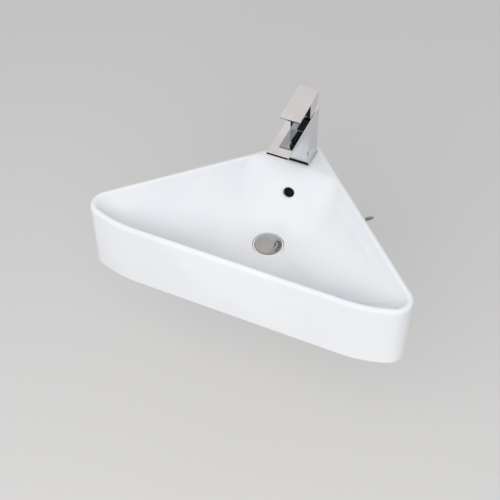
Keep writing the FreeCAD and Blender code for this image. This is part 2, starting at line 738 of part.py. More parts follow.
def make_fixings():
    """Heights run into the wall; the skirt's inner face is at minus its thickness."""
    bore = d.bolt_radius + d.bolt_clearance
    face = -d.skirt_wall
    under_flange = face - d.bush_flange
    under_washer = under_flange - d.washer_thickness
    under_nut = under_washer - d.nut_height
    sleeve = d.fixing_hole_radius - d.bush_clearance
    pair("hanger_bolts", turned("bolt_right", [
        (NONE, under_nut - d.bolt_end), (d.bolt_radius, under_nut - d.bolt_end),
        (d.bolt_radius, d.bolt_shoulder), (d.bolt_wall_radius, d.bolt_shoulder),
        (d.bolt_wall_radius, d.bolt_in_wall - d.bolt_wall_radius), (NONE, d.bolt_in_wall)]))
    pair("wall_bushes", turned("bush_right", [
        (bore, NONE), (bore, under_flange), (d.bush_flange_radius, under_flange),
        (d.bush_flange_radius, face), (sleeve, face), (sleeve, NONE)]))
    pair("fixing_washers", turned("washer_right", tube_profile(
        d.washer_radius, bore, under_washer, under_flange)))
    pair("fixing_nuts", hex_nut("nut_right", d.nut_flats, d.bolt_radius + d.thread_clearance,
                                under_nut, under_washer))


# ---------------------------------------------------------------- pop-up waste

def on_waste_axis(thing):
    place(thing, 0, -d.waste_place, 0)
    return keep(thing)


def make_waste():
    inner_lip = d.cap_radius + 0.8
    under_edge = d.flange_top_drop + d.flange_edge
    neck = d.tail_radius + d.flange_edge
    neck_drop = under_edge + (d.flange_radius - neck) * d.seat_fall
    cone_top = under_edge + (d.flange_radius - inner_lip) * d.seat_fall - d.cone_skin
    cone_end = cone_top + (inner_lip - d.tail_bore_radius) * d.seat_fall
    gasket_end = d.boss_drop + d.lower_gasket_height
    washer_end = gasket_end + d.slip_washer_height
    backnut_end = washer_end + d.backnut_height
    relief = d.tail_radius - d.tail_relief
    relief_top = backnut_end + d.tail_relief_gap
    relief_end = relief_top + d.tail_relief_width
    waste = turned("waste_body", [
        (inner_lip, -d.flange_top_drop), (d.flange_radius, -(d.flange_top_drop + 0.3)),
        (d.flange_radius, -under_edge), (neck, -neck_drop), (d.tail_radius, -(neck_drop + d.flange_edge)),
        (d.tail_radius, -relief_top), (relief, -relief_top), (relief, -relief_end),
        (d.tail_radius, -relief_end), (d.tail_radius, -d.tail_end_drop),
        (d.tail_bore_radius, -d.tail_end_drop), (d.tail_bore_radius, -cone_end),
        (inner_lip, -cone_top)])
    for role in ("XZ_Plane", "YZ_Plane"):
        slot = sketch_on(waste, "slot_" + role[:2], role)
        half = d.slot_width * 0.5
        draw(slot, box_corners(-half, half, -(d.slot_top_drop + d.slot_height), -d.slot_top_drop))
        pocket(waste, slot, d.tail_radius * 2.5, centred=True)
    bar = sketch_on(waste, "crossbar", "XY_Plane", (0, 0, -d.click_end_drop))
    reach = d.tail_bore_radius + (d.tail_radius - d.tail_bore_radius) * 0.5
    draw(bar, box_corners(-reach, reach, d.crossbar_width * -0.5, d.crossbar_width * 0.5))
    pad(waste, bar, d.crossbar_height, backwards=True)
    hub = sketch_on(waste, "crossbar_hub", "XY_Plane", (0, 0, -d.click_end_drop))
    ring(hub, 0, 0, d.crossbar_hub_radius)
    pad(waste, hub, d.crossbar_height, backwards=True)
    tapped = sketch_on(waste, "crossbar_thread", "XY_Plane", (0, 0, -d.click_end_drop))
    ring(tapped, 0, 0, d.click_tail_radius + d.thread_clearance)
    pocket(waste, tapped, d.crossbar_height)
    on_waste_axis(waste)

    # The gasket fills the gap between the flange's cone and the basin's conical seat.
    seat_top = d.recess_drop + d.recess_wall
    outer = d.flange_radius - d.gasket_play
    inner = d.waste_hole_radius
    flange_at = {}
    seat_at = {}
    for name, radius in (("outer", outer), ("inner", inner)):
        flange_at[name] = under_edge + (d.flange_radius - radius) * d.seat_fall + d.gasket_play
        seat_at[name] = seat_top + (d.recess_radius - radius) * d.seat_fall - d.gasket_play
    on_waste_axis(turned("waste_top_gasket", [
        (inner, -seat_at["inner"]), (outer, -seat_at["outer"]),
        (outer, -flange_at["outer"]), (inner, -flange_at["inner"])]))

    bore = d.tail_radius + d.tail_clearance
    on_waste_axis(turned("waste_lower_gasket", tube_profile(
        d.lower_gasket_radius, bore, -gasket_end, -d.boss_drop)))
    on_waste_axis(turned("waste_slip_washer", tube_profile(
        d.lower_gasket_radius, bore, -washer_end, -gasket_end)))
    on_waste_axis(hex_nut("waste_backnut", d.backnut_flats, d.tail_radius + d.thread_clearance,
                          -backnut_end, -washer_end))

    cap_top = d.flange_top_drop - 0.1
    cap_under = cap_top + d.cap_edge
    boss_end = cap_under + d.cap_boss
    crown_radius = (d.cap_radius * d.cap_radius + d.cap_crown * d.cap_crown) / (d.cap_crown * 2)
    stem_hole = d.stem_radius + d.stem_fit
    on_waste_axis(turned("waste_cap", [
        (NONE, -cap_under), (stem_hole, -cap_under), (stem_hole, -boss_end),
        (d.cap_boss_radius, -boss_end), (d.cap_boss_radius, -cap_under), (d.cap_radius, -cap_under),
        (d.cap_radius, -cap_top, crown_radius), (NONE, d.cap_crown - cap_top)]))
    on_waste_axis(turned("waste_cap_seal", tube_profile(
        d.cap_seal_radius, d.cap_seal_radius - d.cap_seal_width,
        -(cap_under + d.cap_seal_height), -cap_under)))

    floor = d.click_end_drop - d.click_lid
    foot_end = floor - d.spring_length
    on_waste_axis(turned("waste_stem", [
        (NONE, -foot_end), (d.stem_foot_radius, -foot_end), (d.stem_foot_radius, d.stem_foot - foot_end),
        (d.stem_radius, d.stem_foot - foot_end), (d.stem_radius, -cap_under), (NONE, -cap_under)]))
    lid = d.click_top_drop + d.click_lid
    neck_bore = d.stem_radius + d.stem_clearance
    tail_end = d.click_end_drop + d.click_tail
    on_waste_axis(turned("click_cartridge", [
        (NONE, -tail_end), (d.click_tail_radius, -tail_end), (d.click_tail_radius, -d.click_end_drop),
        (d.click_radius, -d.click_end_drop), (d.click_radius, -d.click_top_drop),
        (neck_bore, -d.click_top_drop), (neck_bore, -lid), (d.click_bore_radius, -lid),
        (d.click_bore_radius, -floor), (NONE, -floor)]))

    spring = new_body("click_spring")
    wire = sketch_on(spring, "spring_wire", "XZ_Plane")
    low = d.spring_play + d.spring_wire_radius
    ring(wire, d.spring_mean_radius, low, d.spring_wire_radius)
    coil = spring.newObject("PartDesign::AdditiveHelix", "coil")
    coil.Profile = wire
    coil.ReferenceAxis = (wire, ["V_Axis"])
    coil.Mode = "height-turns-angle"
    rise = d.spring_length - low * 2
    coil.Height = rise.value
    bind(coil, "Height", rise)
    coil.Turns = d.spring_turns.value
    bind(coil, "Turns", d.spring_turns)
    doc.recompute()
    place(spring, 0, -d.waste_place, -floor)
    keep(spring)


# ---------------------------------------------------------------- tap

def top_at(distance):
    """Height of the column's and the spout's top at a distance from the corner of the walls."""
    return d.tap_height - (as_size(distance) - d.tap_back) * tangent(d.top_slope)


TOP = worked("chamber_top", top_at(d.tap_place))
FOOT = worked("column_foot", d.seal_height + d.plinth_height + d.groove)
OUTLET = worked("aerator_place", d.spout_reach - d.aerator_setback)


def on_cartridge_axis(thing):
    """Heights of the piece run square to the column's top, from the top."""
    place(thing, 0, -d.tap_place, TOP, d.top_slope)
    return keep(thing)


def upright(edge):
    return edge.BoundBox.XLength < 1e-6 and edge.BoundBox.YLength < 1e-6


def make_tap_body():
    body = new_body("tap_body")
    tip_top = top_at(d.spout_reach)
    side = sketch_on(body, "column_side", "YZ_Plane")
    draw(side, [(-d.tap_back, FOOT), (-d.tap_back, d.tap_height), (-d.spout_reach, tip_top),
                (-d.spout_reach, tip_top - d.spout_tip), (-d.tap_front, d.spout_root),
                (-d.tap_front, FOOT)])
    pad(body, side, d.tap_width, centred=True)
    round_edges(body, "column_edges", d.tap_edge, lambda edge: edge.BoundBox.ZMax > FOOT.value + 1)
    neck = sketch_on(body, "neck", "XY_Plane", (0, 0, FOOT - d.groove))
    half = d.tap_width * 0.5 - d.groove
    draw(neck, box_corners(-half, half, d.groove - d.tap_front, -d.tap_back - d.groove))
    pad(body, neck, d.groove * 2)

    chamber = sketch_on(body, "chamber", "YZ_Plane", (-d.tap_place, TOP, 0), d.top_slope, UP)
    trim = d.trim_radius + d.cartridge_play
    draw(chamber, [
        (NONE, -d.chamber_depth), (d.chamber_radius, -d.chamber_depth),
        (d.chamber_radius, -(d.trim_height + 0.2)), (trim, -(d.trim_height + 0.2)), (trim, d.trim_height),
        (NONE, d.trim_height)])
    revolve("Groove", body, chamber)

    start = d.tap_place + d.chamber_radius - 2
    end = OUTLET + d.aerator_radius * 0.5
    high = top_at(start) - d.waterway_drop
    low = top_at(end) - d.spout_skin
    waterway = sketch_on(body, "waterway", "YZ_Plane")
    draw(waterway, [(-start, high), (-end, low), (-end, low - d.waterway_end_height),
                    (-start, high - d.waterway_height)])
    pocket(body, waterway, d.waterway_width, centred=True)
    seat = top_at(OUTLET + d.aerator_radius) - d.spout_skin
    outlet = sketch_on(body, "spout_outlet", "XY_Plane", (0, 0, seat))
    ring(outlet, 0, -OUTLET, d.aerator_radius)
    pocket(body, outlet, d.tap_width)

    bottom = FOOT - d.groove
    thread_end = bottom + d.inlet_thread
    deep = TOP - d.chamber_depth - thread_end + d.seat_seal
    for name, radius, under, length in (
            ("inlets", d.inlet_radius, bottom, d.inlet_thread),
            ("passages", d.inlet_passage_radius, thread_end, deep)):
        sketch = sketch_on(body, name, "XY_Plane", (0, 0, under))
        for hand in (1, -1):
            ring(sketch, d.inlet_spread * hand, -(d.tap_place + d.inlet_forward), radius)
        pocket(body, sketch, length, backwards=True)
    stud = sketch_on(body, "stud_hole", "XY_Plane", (0, 0, bottom))
    ring(stud, 0, d.stud_rearward - d.tap_place, d.stud_radius + d.thread_clearance)
    pocket(body, stud, d.stud_in_body, backwards=True)
    keep(body)

    ring_outer = d.aerator_radius - d.aerator_play
    ring_inner = ring_outer - d.aerator_wall
    seal_low = seat - d.aerator_seal_height
    insert_top = seal_low - 0.1
    for label, profile in (
            ("aerator_seal", tube_profile(ring_outer, ring_inner, seal_low, seat)),
            ("aerator_housing", tube_profile(ring_outer, ring_inner, seal_low - d.aerator_height,
                                             seal_low))):
        piece = turned(label, profile)
        place(piece, 0, -OUTLET, 0)
        keep(piece)
    insert = new_body("aerator_insert")
    mesh = sketch_on(insert, "insert_holes_plan", "XY_Plane", (0, 0, insert_top))
    ring(mesh, 0, 0, ring_inner - d.thread_clearance)
    ring(mesh, 0, 0, d.insert_hole_radius)
    count = int(d.insert_holes.value)
    for index in range(count):
        angle = 2 * math.pi * index / count
        ring(mesh, d.insert_ring_radius * math.cos(angle), d.insert_ring_radius * math.sin(angle),
             d.insert_hole_radius)
    pad(insert, mesh, d.insert_height, backwards=True)
    place(insert, 0, -OUTLET, 0)
    keep(insert)


def flat_piece(label, overhang, low, height, bore):
    """A rectangular plate under the column with a round hole for the stud and the supply tails."""
    body = new_body(label)
    sketch = sketch_on(body, label + "_plan", "XY_Plane", (0, 0, low))
    half = d.tap_width * 0.5 + overhang
    draw(sketch, box_corners(-half, half, -(d.tap_front + overhang), overhang - d.tap_back))
    ring(sketch, 0, -d.tap_place, bore)
    pad(body, sketch, height)
    round_edges(body, label + "_corners", d.tap_edge, upright)
    return keep(body)


def clamp_piece(label, low):
    """A horseshoe under the deck: round, with a slot for the supply tails and a hole for the stud."""
    body = new_body(label)
    sketch = sketch_on(body, label + "_plan", "XY_Plane", (0, 0, low))
    ring(sketch, 0, -d.tap_place, d.clamp_radius)
    ring(sketch, 0, d.stud_rearward - d.tap_place, d.stud_radius + d.bolt_clearance)
    pad(body, sketch, d.clamp_thickness)
    slot = sketch_on(body, label + "_slot", "XY_Plane", (0, 0, low))
    half = d.clamp_slot * 0.5
    draw(slot, box_corners(-half, half, -(d.tap_place + d.clamp_radius * 1.5),
                           d.clamp_bridge - d.tap_place))
    pocket(body, slot, d.clamp_thickness, backwards=True)
    return keep(body)


def make_tap_mounting():
    flat_piece("tap_base_seal", d.plinth_overhang - d.seal_inset, NONE, d.seal_height,
               d.plinth_bore_radius)
    flat_piece("tap_base_plate", d.plinth_overhang, d.seal_height, d.plinth_height,
               d.plinth_bore_radius)
    stud_y = d.stud_rearward - d.tap_place
    stud = turned("tap_stud", [
        (NONE, -d.stud_drop), (d.stud_radius, -d.stud_drop),
        (d.stud_radius, FOOT - d.groove + d.stud_in_body), (NONE, FOOT - d.groove + d.stud_in_body)])
    place(stud, 0, stud_y, 0)
    keep(stud)
    rubber_low = -(d.deck_thickness + d.clamp_thickness)
    plate_low = rubber_low - d.clamp_thickness
    clamp_piece("tap_clamp_rubber", rubber_low)
    clamp_piece("tap_clamp_plate", plate_low)
    nut = hex_nut("tap_clamp_nut", d.clamp_nut_flats, d.stud_radius + d.thread_clearance,
                  plate_low - d.clamp_nut_height, plate_low)
    place(nut, 0, stud_y, 0)
    keep(nut)


def make_cartridge():
    outer = d.chamber_radius - d.cartridge_play
    bore = d.rotor_radius + d.rotor_clearance
    base = d.chamber_depth - d.seat_seal
    floor = base - d.housing_floor
    housing = turned("cartridge_housing", [
        (NONE, -base), (outer, -base), (outer, -d.housing_top), (bore, -d.housing_top), (bore, -floor),
        (NONE, -floor)])

    def port_rings(sketch):
        for hand in (1, -1):
            ring(sketch, d.inlet_spread * d.port_share * hand, -(d.inlet_forward * d.port_share),
                 d.port_radius)

    ports = sketch_on(housing, "ports", "XY_Plane", (0, 0, -floor))
    port_rings(ports)
    pocket(housing, ports, d.housing_floor)
    outlet = sketch_on(housing, "side_outlet", "XZ_Plane")
    ring(outlet, 0, -(d.waterway_drop + d.waterway_height * 0.5), d.outlet_radius)
    pocket(housing, outlet, d.chamber_radius * 1.2, backwards=True)
    on_cartridge_axis(housing)

    seals = new_body("cartridge_seals")
    face = sketch_on(seals, "seal_face", "XY_Plane", (0, 0, -d.chamber_depth))
    ring(face, 0, 0, outer - 1)
    port_rings(face)
    pad(seals, face, d.seat_seal)
    on_cartridge_axis(seals)

    fixed = new_body("fixed_disc")
    face = sketch_on(fixed, "fixed_face", "XY_Plane", (0, 0, -floor))
    ring(face, 0, 0, bore - d.cartridge_play)
    port_rings(face)
    pad(fixed, face, d.disc_height)
    on_cartridge_axis(fixed)

    disc_low = floor - d.disc_height - d.disc_play
    disc_high = d.rotor_end + d.slider_gap
    on_cartridge_axis(turned("moving_disc", [
        (NONE, -disc_low), (d.slider_radius, -disc_low), (d.slider_radius, -disc_high),
        (d.slider_socket_radius, -disc_high), (d.slider_socket_radius, -(disc_high + d.slider_socket)),
        (NONE, -(disc_high + d.slider_socket))]))

    rotor = turned("cartridge_rotor", [
        (NONE, -d.rotor_end), (d.rotor_radius, -d.rotor_end), (d.rotor_radius, -d.rotor_top),
        (NONE, -d.rotor_top)])
    slot = sketch_on(rotor, "spindle_slot", "XY_Plane", (0, 0, -d.rotor_top))
    half_x, half_y = d.rotor_slot_width * 0.5, d.rotor_slot_length * 0.5
    draw(slot, box_corners(-half_x, half_x, -half_y, half_y))
    pocket(rotor, slot, d.rotor_end)
    cross = sketch_on(rotor, "pin_hole", "YZ_Plane")
    ring(cross, 0, -d.pivot_drop, d.pin_radius + d.pin_fit)
    pocket(rotor, cross, d.rotor_radius * 2.2, centred=True)
    on_cartridge_axis(rotor)

    pin = new_body("spindle_pin")
    section = sketch_on(pin, "pin_section", "YZ_Plane")
    ring(section, 0, -d.pivot_drop, d.pin_radius)
    pad(pin, section, d.pin_half * 2, centred=True)
    on_cartridge_axis(pin)

    on_cartridge_axis(turned("cartridge_nut", tube_profile(
        outer, d.nut_bore_radius, -d.housing_top, -(d.trim_height + 0.3))))
    on_cartridge_axis(turned("trim_ring", tube_profile(
        d.trim_radius, d.nut_bore_radius, -(d.trim_height + 0.2), -0.2)))

    spindle = new_body("cartridge_spindle")
    square = sketch_on(spindle, "spindle_square", "XY_Plane", (0, 0, -d.spindle_square_end))
    half = d.spindle_side * 0.5
    draw(square, box_corners(-half, half, -half, half))
    pad(spindle, square, d.spindle_square_end + d.spindle_top)
    nub = sketch_on(spindle, "spindle_nub", "XY_Plane", (0, 0, -d.spindle_end))
    ring(nub, 0, 0, d.nub_radius)
    pad(spindle, nub, d.spindle_end - d.spindle_square_end)
    cross = sketch_on(spindle, "spindle_pin_hole", "YZ_Plane")
    ring(cross, 0, -d.pivot_drop, d.pin_radius + d.pin_clearance)
    pocket(spindle, cross, d.spindle_side * 1.5, centred=True)
    on_cartridge_axis(spindle)


def make_lever():
    lever = new_body("lever")
    side = sketch_on(lever, "lever_side", "YZ_Plane")
    lift = worked("lever_lift", d.lever_gap / cosine(d.top_slope))

    def blade_top(distance):
        return d.lever_height - (distance - d.lever_back) * tangent(d.lever_slope)

    draw(side, [
        (-d.lever_back, d.lever_height),
        (-d.lever_reach, blade_top(d.lever_reach)),
        (-d.lever_reach, blade_top(d.lever_reach) - d.blade),
        (-d.lever_hub_front, blade_top(d.lever_hub_front) - d.blade),
        (-d.lever_hub_front, top_at(d.lever_hub_front) + lift),
        (-d.lever_foot_back, top_at(d.lever_foot_back) + lift)])
    pad(lever, side, d.lever_width, centred=True)
    round_edges(lever, "lever_edges", d.tap_edge, lambda edge: True)
    socket = sketch_on(lever, "socket", "XY_Plane", (0, -d.tap_place, TOP), d.top_slope)
    half = d.spindle_side * 0.5 + d.spindle_fit
    draw(socket, box_corners(-half, half, -half, half))
    pocket(lever, socket, d.spindle_top + d.spindle_fit, backwards=True)
    screw_hole = sketch_on(lever, "screw_hole", "XZ_Plane", (0, TOP, d.tap_place), d.top_slope)
    ring(screw_hole, 0, d.screw_height, d.screw_radius + d.screw_play)
    pocket(lever, screw_hole, d.tap_place - d.lever_back * 0.5)
    keep(lever)

    tip = d.spindle_side * 0.5
    for label, start, length in (("lever_screw", tip, d.screw_length),
                                 ("lever_plug", tip + d.screw_length, d.plug_length)):
        piece = new_body(label)
        section = sketch_on(piece, label + "_section", "XZ_Plane", (0, 0, -start))
        ring(section, 0, d.screw_height, d.screw_radius)
        pad(piece, section, length, backwards=True)
        on_cartridge_axis(piece)


make_basin()
make_fixings()
make_waste()
make_tap_body()
make_tap_mounting()
make_cartridge()
make_lever()

# ---------------------------------------------------------------- checks and files

doc.recompute()
faults = [f"{thing.Name}: {thing.State}" for thing in doc.Objects
          if "Invalid" in thing.State or "Error" in thing.State]
for piece in pieces:
    if piece.Shape.isNull() or not piece.Shape.isValid() or not piece.Shape.Solids:
        faults.append(f"{piece.Label}: its shape is missing or broken")
if faults:
    raise RuntimeError("; ".join(faults))
for piece in pieces:
    piece.Shape.exportStep(f"parts/{piece.Label}.step")
    print(f"{piece.Label}: {len(piece.Shape.Solids)} solid(s), {piece.Shape.Volume:.0f} mm3")
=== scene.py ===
"""A glazed corner basin with a square lever tap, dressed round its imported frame.

Shapes are drawn in millimetres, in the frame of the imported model, and are delivered in metres.
"""
import logging
import math
from dataclasses import dataclass
from enum import Enum, IntEnum
from typing import Callable, Sequence, Union

import bmesh
import bpy
from mathutils import Matrix, Vector


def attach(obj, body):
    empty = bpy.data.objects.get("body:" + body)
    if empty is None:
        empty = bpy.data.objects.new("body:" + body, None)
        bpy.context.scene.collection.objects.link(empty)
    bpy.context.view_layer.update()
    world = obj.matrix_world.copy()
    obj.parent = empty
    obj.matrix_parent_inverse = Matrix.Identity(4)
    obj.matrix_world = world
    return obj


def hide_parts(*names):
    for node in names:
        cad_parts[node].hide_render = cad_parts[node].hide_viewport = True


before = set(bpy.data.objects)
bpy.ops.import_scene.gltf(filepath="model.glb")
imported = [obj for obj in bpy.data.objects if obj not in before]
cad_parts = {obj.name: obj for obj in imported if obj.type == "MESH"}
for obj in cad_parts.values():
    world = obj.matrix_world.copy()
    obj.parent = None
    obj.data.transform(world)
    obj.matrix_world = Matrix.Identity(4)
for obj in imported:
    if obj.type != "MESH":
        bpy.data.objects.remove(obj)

LOG = logging.getLogger("corner_basin")
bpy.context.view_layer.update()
MILLIMETRE = 0.001
ROOT_HALF = math.sqrt(0.5)
ROOT_TWO = math.sqrt(2)

CLEAR = 5.0  # how far a cutter reaches past the faces that it opens
THROUGH = 30.0  # length of a cutter that opens one end only
ROUNDING_STEPS = 5  # straight pieces in each rounding of an outline
SHARP_TURN = 0.3  # angle in radians past which an edge of a slab is rounded
THREAD_SINK = 0.25  # depth that a thread's ridge is sunk into its shank
THREAD_HALF = 0.46  # half of a ridge's width, as a share of the pitch
THREAD_FLAT = 0.15  # half of its crest's width, as a share of that half

Colour = tuple[float, float, float, float]
Corner = tuple[float, ...]
Mesh = bmesh.types.BMesh
Thing = bpy.types.Object
Ring = list[bmesh.types.BMVert]


class Slot(Enum):
    """Material slots of the record; each new piece is handed one."""

    GLAZE = "glaze"
    CHROME = "chrome"
    STEEL = "zinc_steel"
    WHITE_PLASTIC = "white_plastic"
    RUBBER = "black_rubber"
    BRASS = "brass"


class Body(Enum):
    """Bodies of the frame that new pieces ride on."""

    ROOT = "root"
    LEVER = "lever_arm"
    PLUG = "waste_plug"


class Stretch(IntEnum):
    """Stretches of the basin's outline, from the middle of the front to the middle of the back."""

    FRONT = 0
    BLEND = 1
    END = 2
    SIDE = 3
    SHOULDER = 4
    BACK = 5


def srgb(red: float, green: float, blue: float) -> Colour:
    """Turn a colour written as 0 to 255 into the linear values that shaders take.

    Args:
        red: share of red.
        green: share of green.
        blue: share of blue.

    Returns:
        The linear colour with full alpha.
    """
    def linear(share: float) -> float:
        """Undo the display curve of one channel."""
        share /= 255
        return share / 12.92 if share <= 0.04045 else ((share + 0.055) / 1.055) ** 2.4

    return linear(red), linear(green), linear(blue), 1.0


# ---------------------------------------------------------------- shader maths

class Wire:
    """A shader socket that takes part in sums: each operator adds its Math node."""

    def __init__(self, graph: "Graph", socket: bpy.types.NodeSocket) -> None:
        """Hold a socket and the graph that it belongs to."""
        self.graph = graph
        self.socket = socket

    def _sum(self, operation: str, first: "Value", second: "Value") -> "Wire":
        """Add one Math node."""
        return self.graph.add("ShaderNodeMath", {"operation": operation}, {0: first, 1: second})

    def __add__(self, other: "Value") -> "Wire":
        """Add."""
        return self._sum("ADD", self, other)

    def __radd__(self, other: "Value") -> "Wire":
        """Add to a number."""
        return self._sum("ADD", other, self)

    def __sub__(self, other: "Value") -> "Wire":
        """Take away."""
        return self._sum("SUBTRACT", self, other)

    def __rsub__(self, other: "Value") -> "Wire":
        """Take away from a number."""
        return self._sum("SUBTRACT", other, self)

    def __mul__(self, other: "Value") -> "Wire":
        """Multiply."""
        return self._sum("MULTIPLY", self, other)

    def __rmul__(self, other: "Value") -> "Wire":
        """Multiply a number."""
        return self._sum("MULTIPLY", other, self)

    def clamped(self, low: float, high: float) -> "Wire":
        """Spread the values from low to high over 0 to 1, with soft ends."""
        return self.graph.add("ShaderNodeMapRange", {"interpolation_type": "SMOOTHSTEP"},
                              {"Value": self, "From Min": low, "From Max": high})


Value = Union[Wire, float]


class Graph:
    """The node tree of a material or world."""

    def __init__(self, owner: bpy.types.ID) -> None:
        """Empty the owner's node tree."""
        owner.use_nodes = True
        self.tree = owner.node_tree
        self.tree.nodes.clear()

    def add(self, kind: str, settings: dict | None = None, sockets: dict | None = None,
            output: int | str = 0) -> Wire:
        """Add a node.

        Args:
            kind: the node's type.
            settings: properties that are set first; "stops" are a ramp's places and colours.
            sockets: the values or links of its inputs, by name or number.
            output: the output that the returned wire holds.

        Returns:
            A wire from the chosen output.
        """
        node = self.tree.nodes.new(kind)
        for name, value in (settings or {}).items():
            if name == "stops":
                ramp = node.color_ramp.elements
                for index, (place, colour) in enumerate(value):
                    stop = ramp[index] if index < 2 else ramp.new(place)
                    stop.position = place
                    stop.color = colour
            else:
                setattr(node, name, value)
        for name, value in (sockets or {}).items():
            if isinstance(value, Wire):
                self.tree.links.new(value.socket, node.inputs[name])
            else:
                node.inputs[name].default_value = value
        return Wire(self, node.outputs[output] if len(node.outputs) else None)

    def place(self) -> Wire:
        """Read the place on the piece, in metres."""
        return self.add("ShaderNodeTexCoord", output="Object")

    def cloud(self, size: float, detail: float = 2.0, stretch: tuple[float, ...] = (1, 1, 1)) -> Wire:
        """Add soft noise.

        Args:
            size: width of its patches, in metres.
            detail: how many finer layers it has.
            stretch: how much finer it is along each axis.

        Returns:
            A wire from 0 to 1.
        """
        spot = self.add("ShaderNodeMapping", sockets={"Vector": self.place(), "Scale": stretch})
        return self.add("ShaderNodeTexNoise",
                        sockets={"Vector": spot, "Scale": 1 / size, "Detail": detail})

    def blend(self, share: Value, first: Value | Colour, second: Value | Colour) -> Wire:
        """Mix two colours by a share."""
        return self.add("ShaderNodeMix", {"data_type": "RGBA"}, {0: share, 6: first, 7: second}, 2)

    def bump(self, height: Wire, depth: float) -> Wire:
        """Turn a height from 0 to 1 into a bump of a depth in metres."""
        return self.add("ShaderNodeBump", sockets={"Height": height, "Distance": depth})


# ---------------------------------------------------------------- finishes

@dataclass(frozen=True)
class Finish:
    """A finish with soft patches of a second tone, uneven gloss and a fine grain."""

    name: str
    colour: Colour
    tone: Colour
    patch: float
    roughness: float
    unevenness: float
    grain: float
    grain_depth: float
    metallic: float = 0.0

    def surface(self, graph: Graph) -> dict[str, Value | Colour]:
        """Work out what varies over the surface.

        Args:
            graph: the material's graph.

        Returns:
            The inputs of the surface shader, by name.
        """
        patches = graph.cloud(self.patch).clamped(0.35, 0.65)
        gloss = graph.cloud(self.patch * 0.4, detail=4)
        grain = graph.cloud(self.grain, detail=3)
        return {"Base Color": graph.blend(patches, self.colour, self.tone),
                "Roughness": self.roughness + (gloss - 0.5) * self.unevenness,
                "Normal": graph.bump(grain, self.grain_depth)}

    def material(self) -> bpy.types.Material:
        """Make the material once, and find it again later.

        Returns:
            The material.
        """
        found = bpy.data.materials.get(self.name)
        if found:
            return found
        made = bpy.data.materials.new(self.name)
        graph = Graph(made)
        sockets = {"Metallic": self.metallic, **self.surface(graph)}
        shader = graph.add("ShaderNodeBsdfPrincipled", sockets=sockets)
        graph.add("ShaderNodeOutputMaterial", sockets={"Surface": shader})
        return made


@dataclass(frozen=True)
class Glaze(Finish):
    """Fired white glaze: slow waves that bend reflections, over soft patches of a second tone."""

    wave: float = 0.07
    wave_depth: float = 0.00022

    def surface(self, graph: Graph) -> dict[str, Value | Colour]:
        """Add the glaze's waves to the fine grain.

        Args:
            graph: the material's graph.

        Returns:
            The inputs of the surface shader, by name.
        """
        inputs = super().surface(graph)
        height = graph.cloud(self.wave, detail=1) * self.wave_depth
        height = height + graph.cloud(self.grain, detail=2) * self.grain_depth
        inputs["Normal"] = graph.bump(height, 1.0)
        return inputs


@dataclass(frozen=True)
class Plated(Finish):
    """Bright plating with faint wiped streaks and a few dried drops."""

    streak: float = 0.05
    drop: float = 0.004

    def surface(self, graph: Graph) -> dict[str, Value | Colour]:
        """Add streaks and dried drops to the gloss.

        Args:
            graph: the material's graph.

        Returns:
            The inputs of the surface shader, by name.
        """
        inputs = super().surface(graph)
        streaks = graph.cloud(self.streak, detail=5, stretch=(0.35, 0.35, 2.5)).clamped(0.45, 0.8)
        spots = graph.add("ShaderNodeTexVoronoi", {"feature": "F1"},
                          {"Vector": graph.place(), "Scale": 1 / self.drop})
        rims = (1 - spots.clamped(0.05, 0.16)) * graph.cloud(self.streak).clamped(0.58, 0.7)
        inputs["Roughness"] = self.roughness + streaks * self.unevenness + rims * 0.05
        return inputs


@dataclass(frozen=True)
class Turned(Finish):
    """Machined metal with fine rings round the vertical axis."""

    pitch: float = 0.0005

    def surface(self, graph: Graph) -> dict[str, Value | Colour]:
        """Add the rings of the cut to the grain.

        Args:
            graph: the material's graph.

        Returns:
            The inputs of the surface shader, by name.
        """
        inputs = super().surface(graph)
        rings = graph.add("ShaderNodeTexWave", {"wave_type": "BANDS", "bands_direction": "Z"},
                          {"Vector": graph.place(), "Scale": 0.3 / self.pitch, "Distortion": 0.4}, 1)
        inputs["Normal"] = graph.bump(rings, self.grain_depth)
        return inputs


GLAZE = Glaze("white_glaze", srgb(234, 235, 236), srgb(229, 231, 233), 0.16, 0.07, 0.04, 0.0016, 0.000004)
CLAY = Finish("bare_clay", srgb(226, 221, 210), srgb(206, 199, 185), 0.03, 0.62, 0.2, 0.0012, 0.00006)
# Painted shade: near black on the overflow passage's walls, standing in for the shade deep inside the
# duct.
DUCT_PAINTED_SHADE = Finish("duct_painted_shade", srgb(46, 44, 41), srgb(30, 29, 27), 0.01, 0.8, 0.1, 0.0012, 0.00006)
CHROME = Plated("chrome_plate", srgb(226, 228, 230), srgb(219, 221, 224), 0.05, 0.045, 0.05, 0.012,
                0.00001, metallic=1.0)
WASTE_CHROME = Plated("waste_chrome", srgb(180, 180, 180), srgb(173, 174, 175), 0.04, 0.09, 0.06, 0.01,
                      0.00001, metallic=1.0)
FLANGE_CHROME = Plated("flange_chrome", srgb(243, 244, 246), srgb(238, 240, 242), 0.05, 0.12, 0.06, 0.012,
                       0.00001, metallic=1.0)
STEEL = Finish("zinc_plate", srgb(176, 178, 174), srgb(196, 190, 168), 0.006, 0.36, 0.16, 0.0008,
               0.00002, metallic=1.0)
BRASS = Turned("machined_brass", srgb(196, 160, 92), srgb(176, 138, 74), 0.008, 0.28, 0.12, 0.0006,
               0.00001, metallic=1.0)
RUBBER = Finish("black_rubber", srgb(26, 26, 27), srgb(40, 40, 41), 0.006, 0.62, 0.2, 0.0005, 0.00003)
WHITE_MOULDING = Finish("white_moulding", srgb(226, 226, 220), srgb(214, 213, 204), 0.012, 0.4, 0.14,
                        0.0006, 0.00002)
GREY_MOULDING = Finish("grey_moulding", srgb(120, 122, 124), srgb(104, 106, 109), 0.008, 0.42, 0.14,
                       0.0006, 0.00002)
DISC_CERAMIC = Finish("ground_ceramic", srgb(214, 206, 188), srgb(200, 192, 172), 0.004, 0.22, 0.1,
                      0.0004, 0.000005)
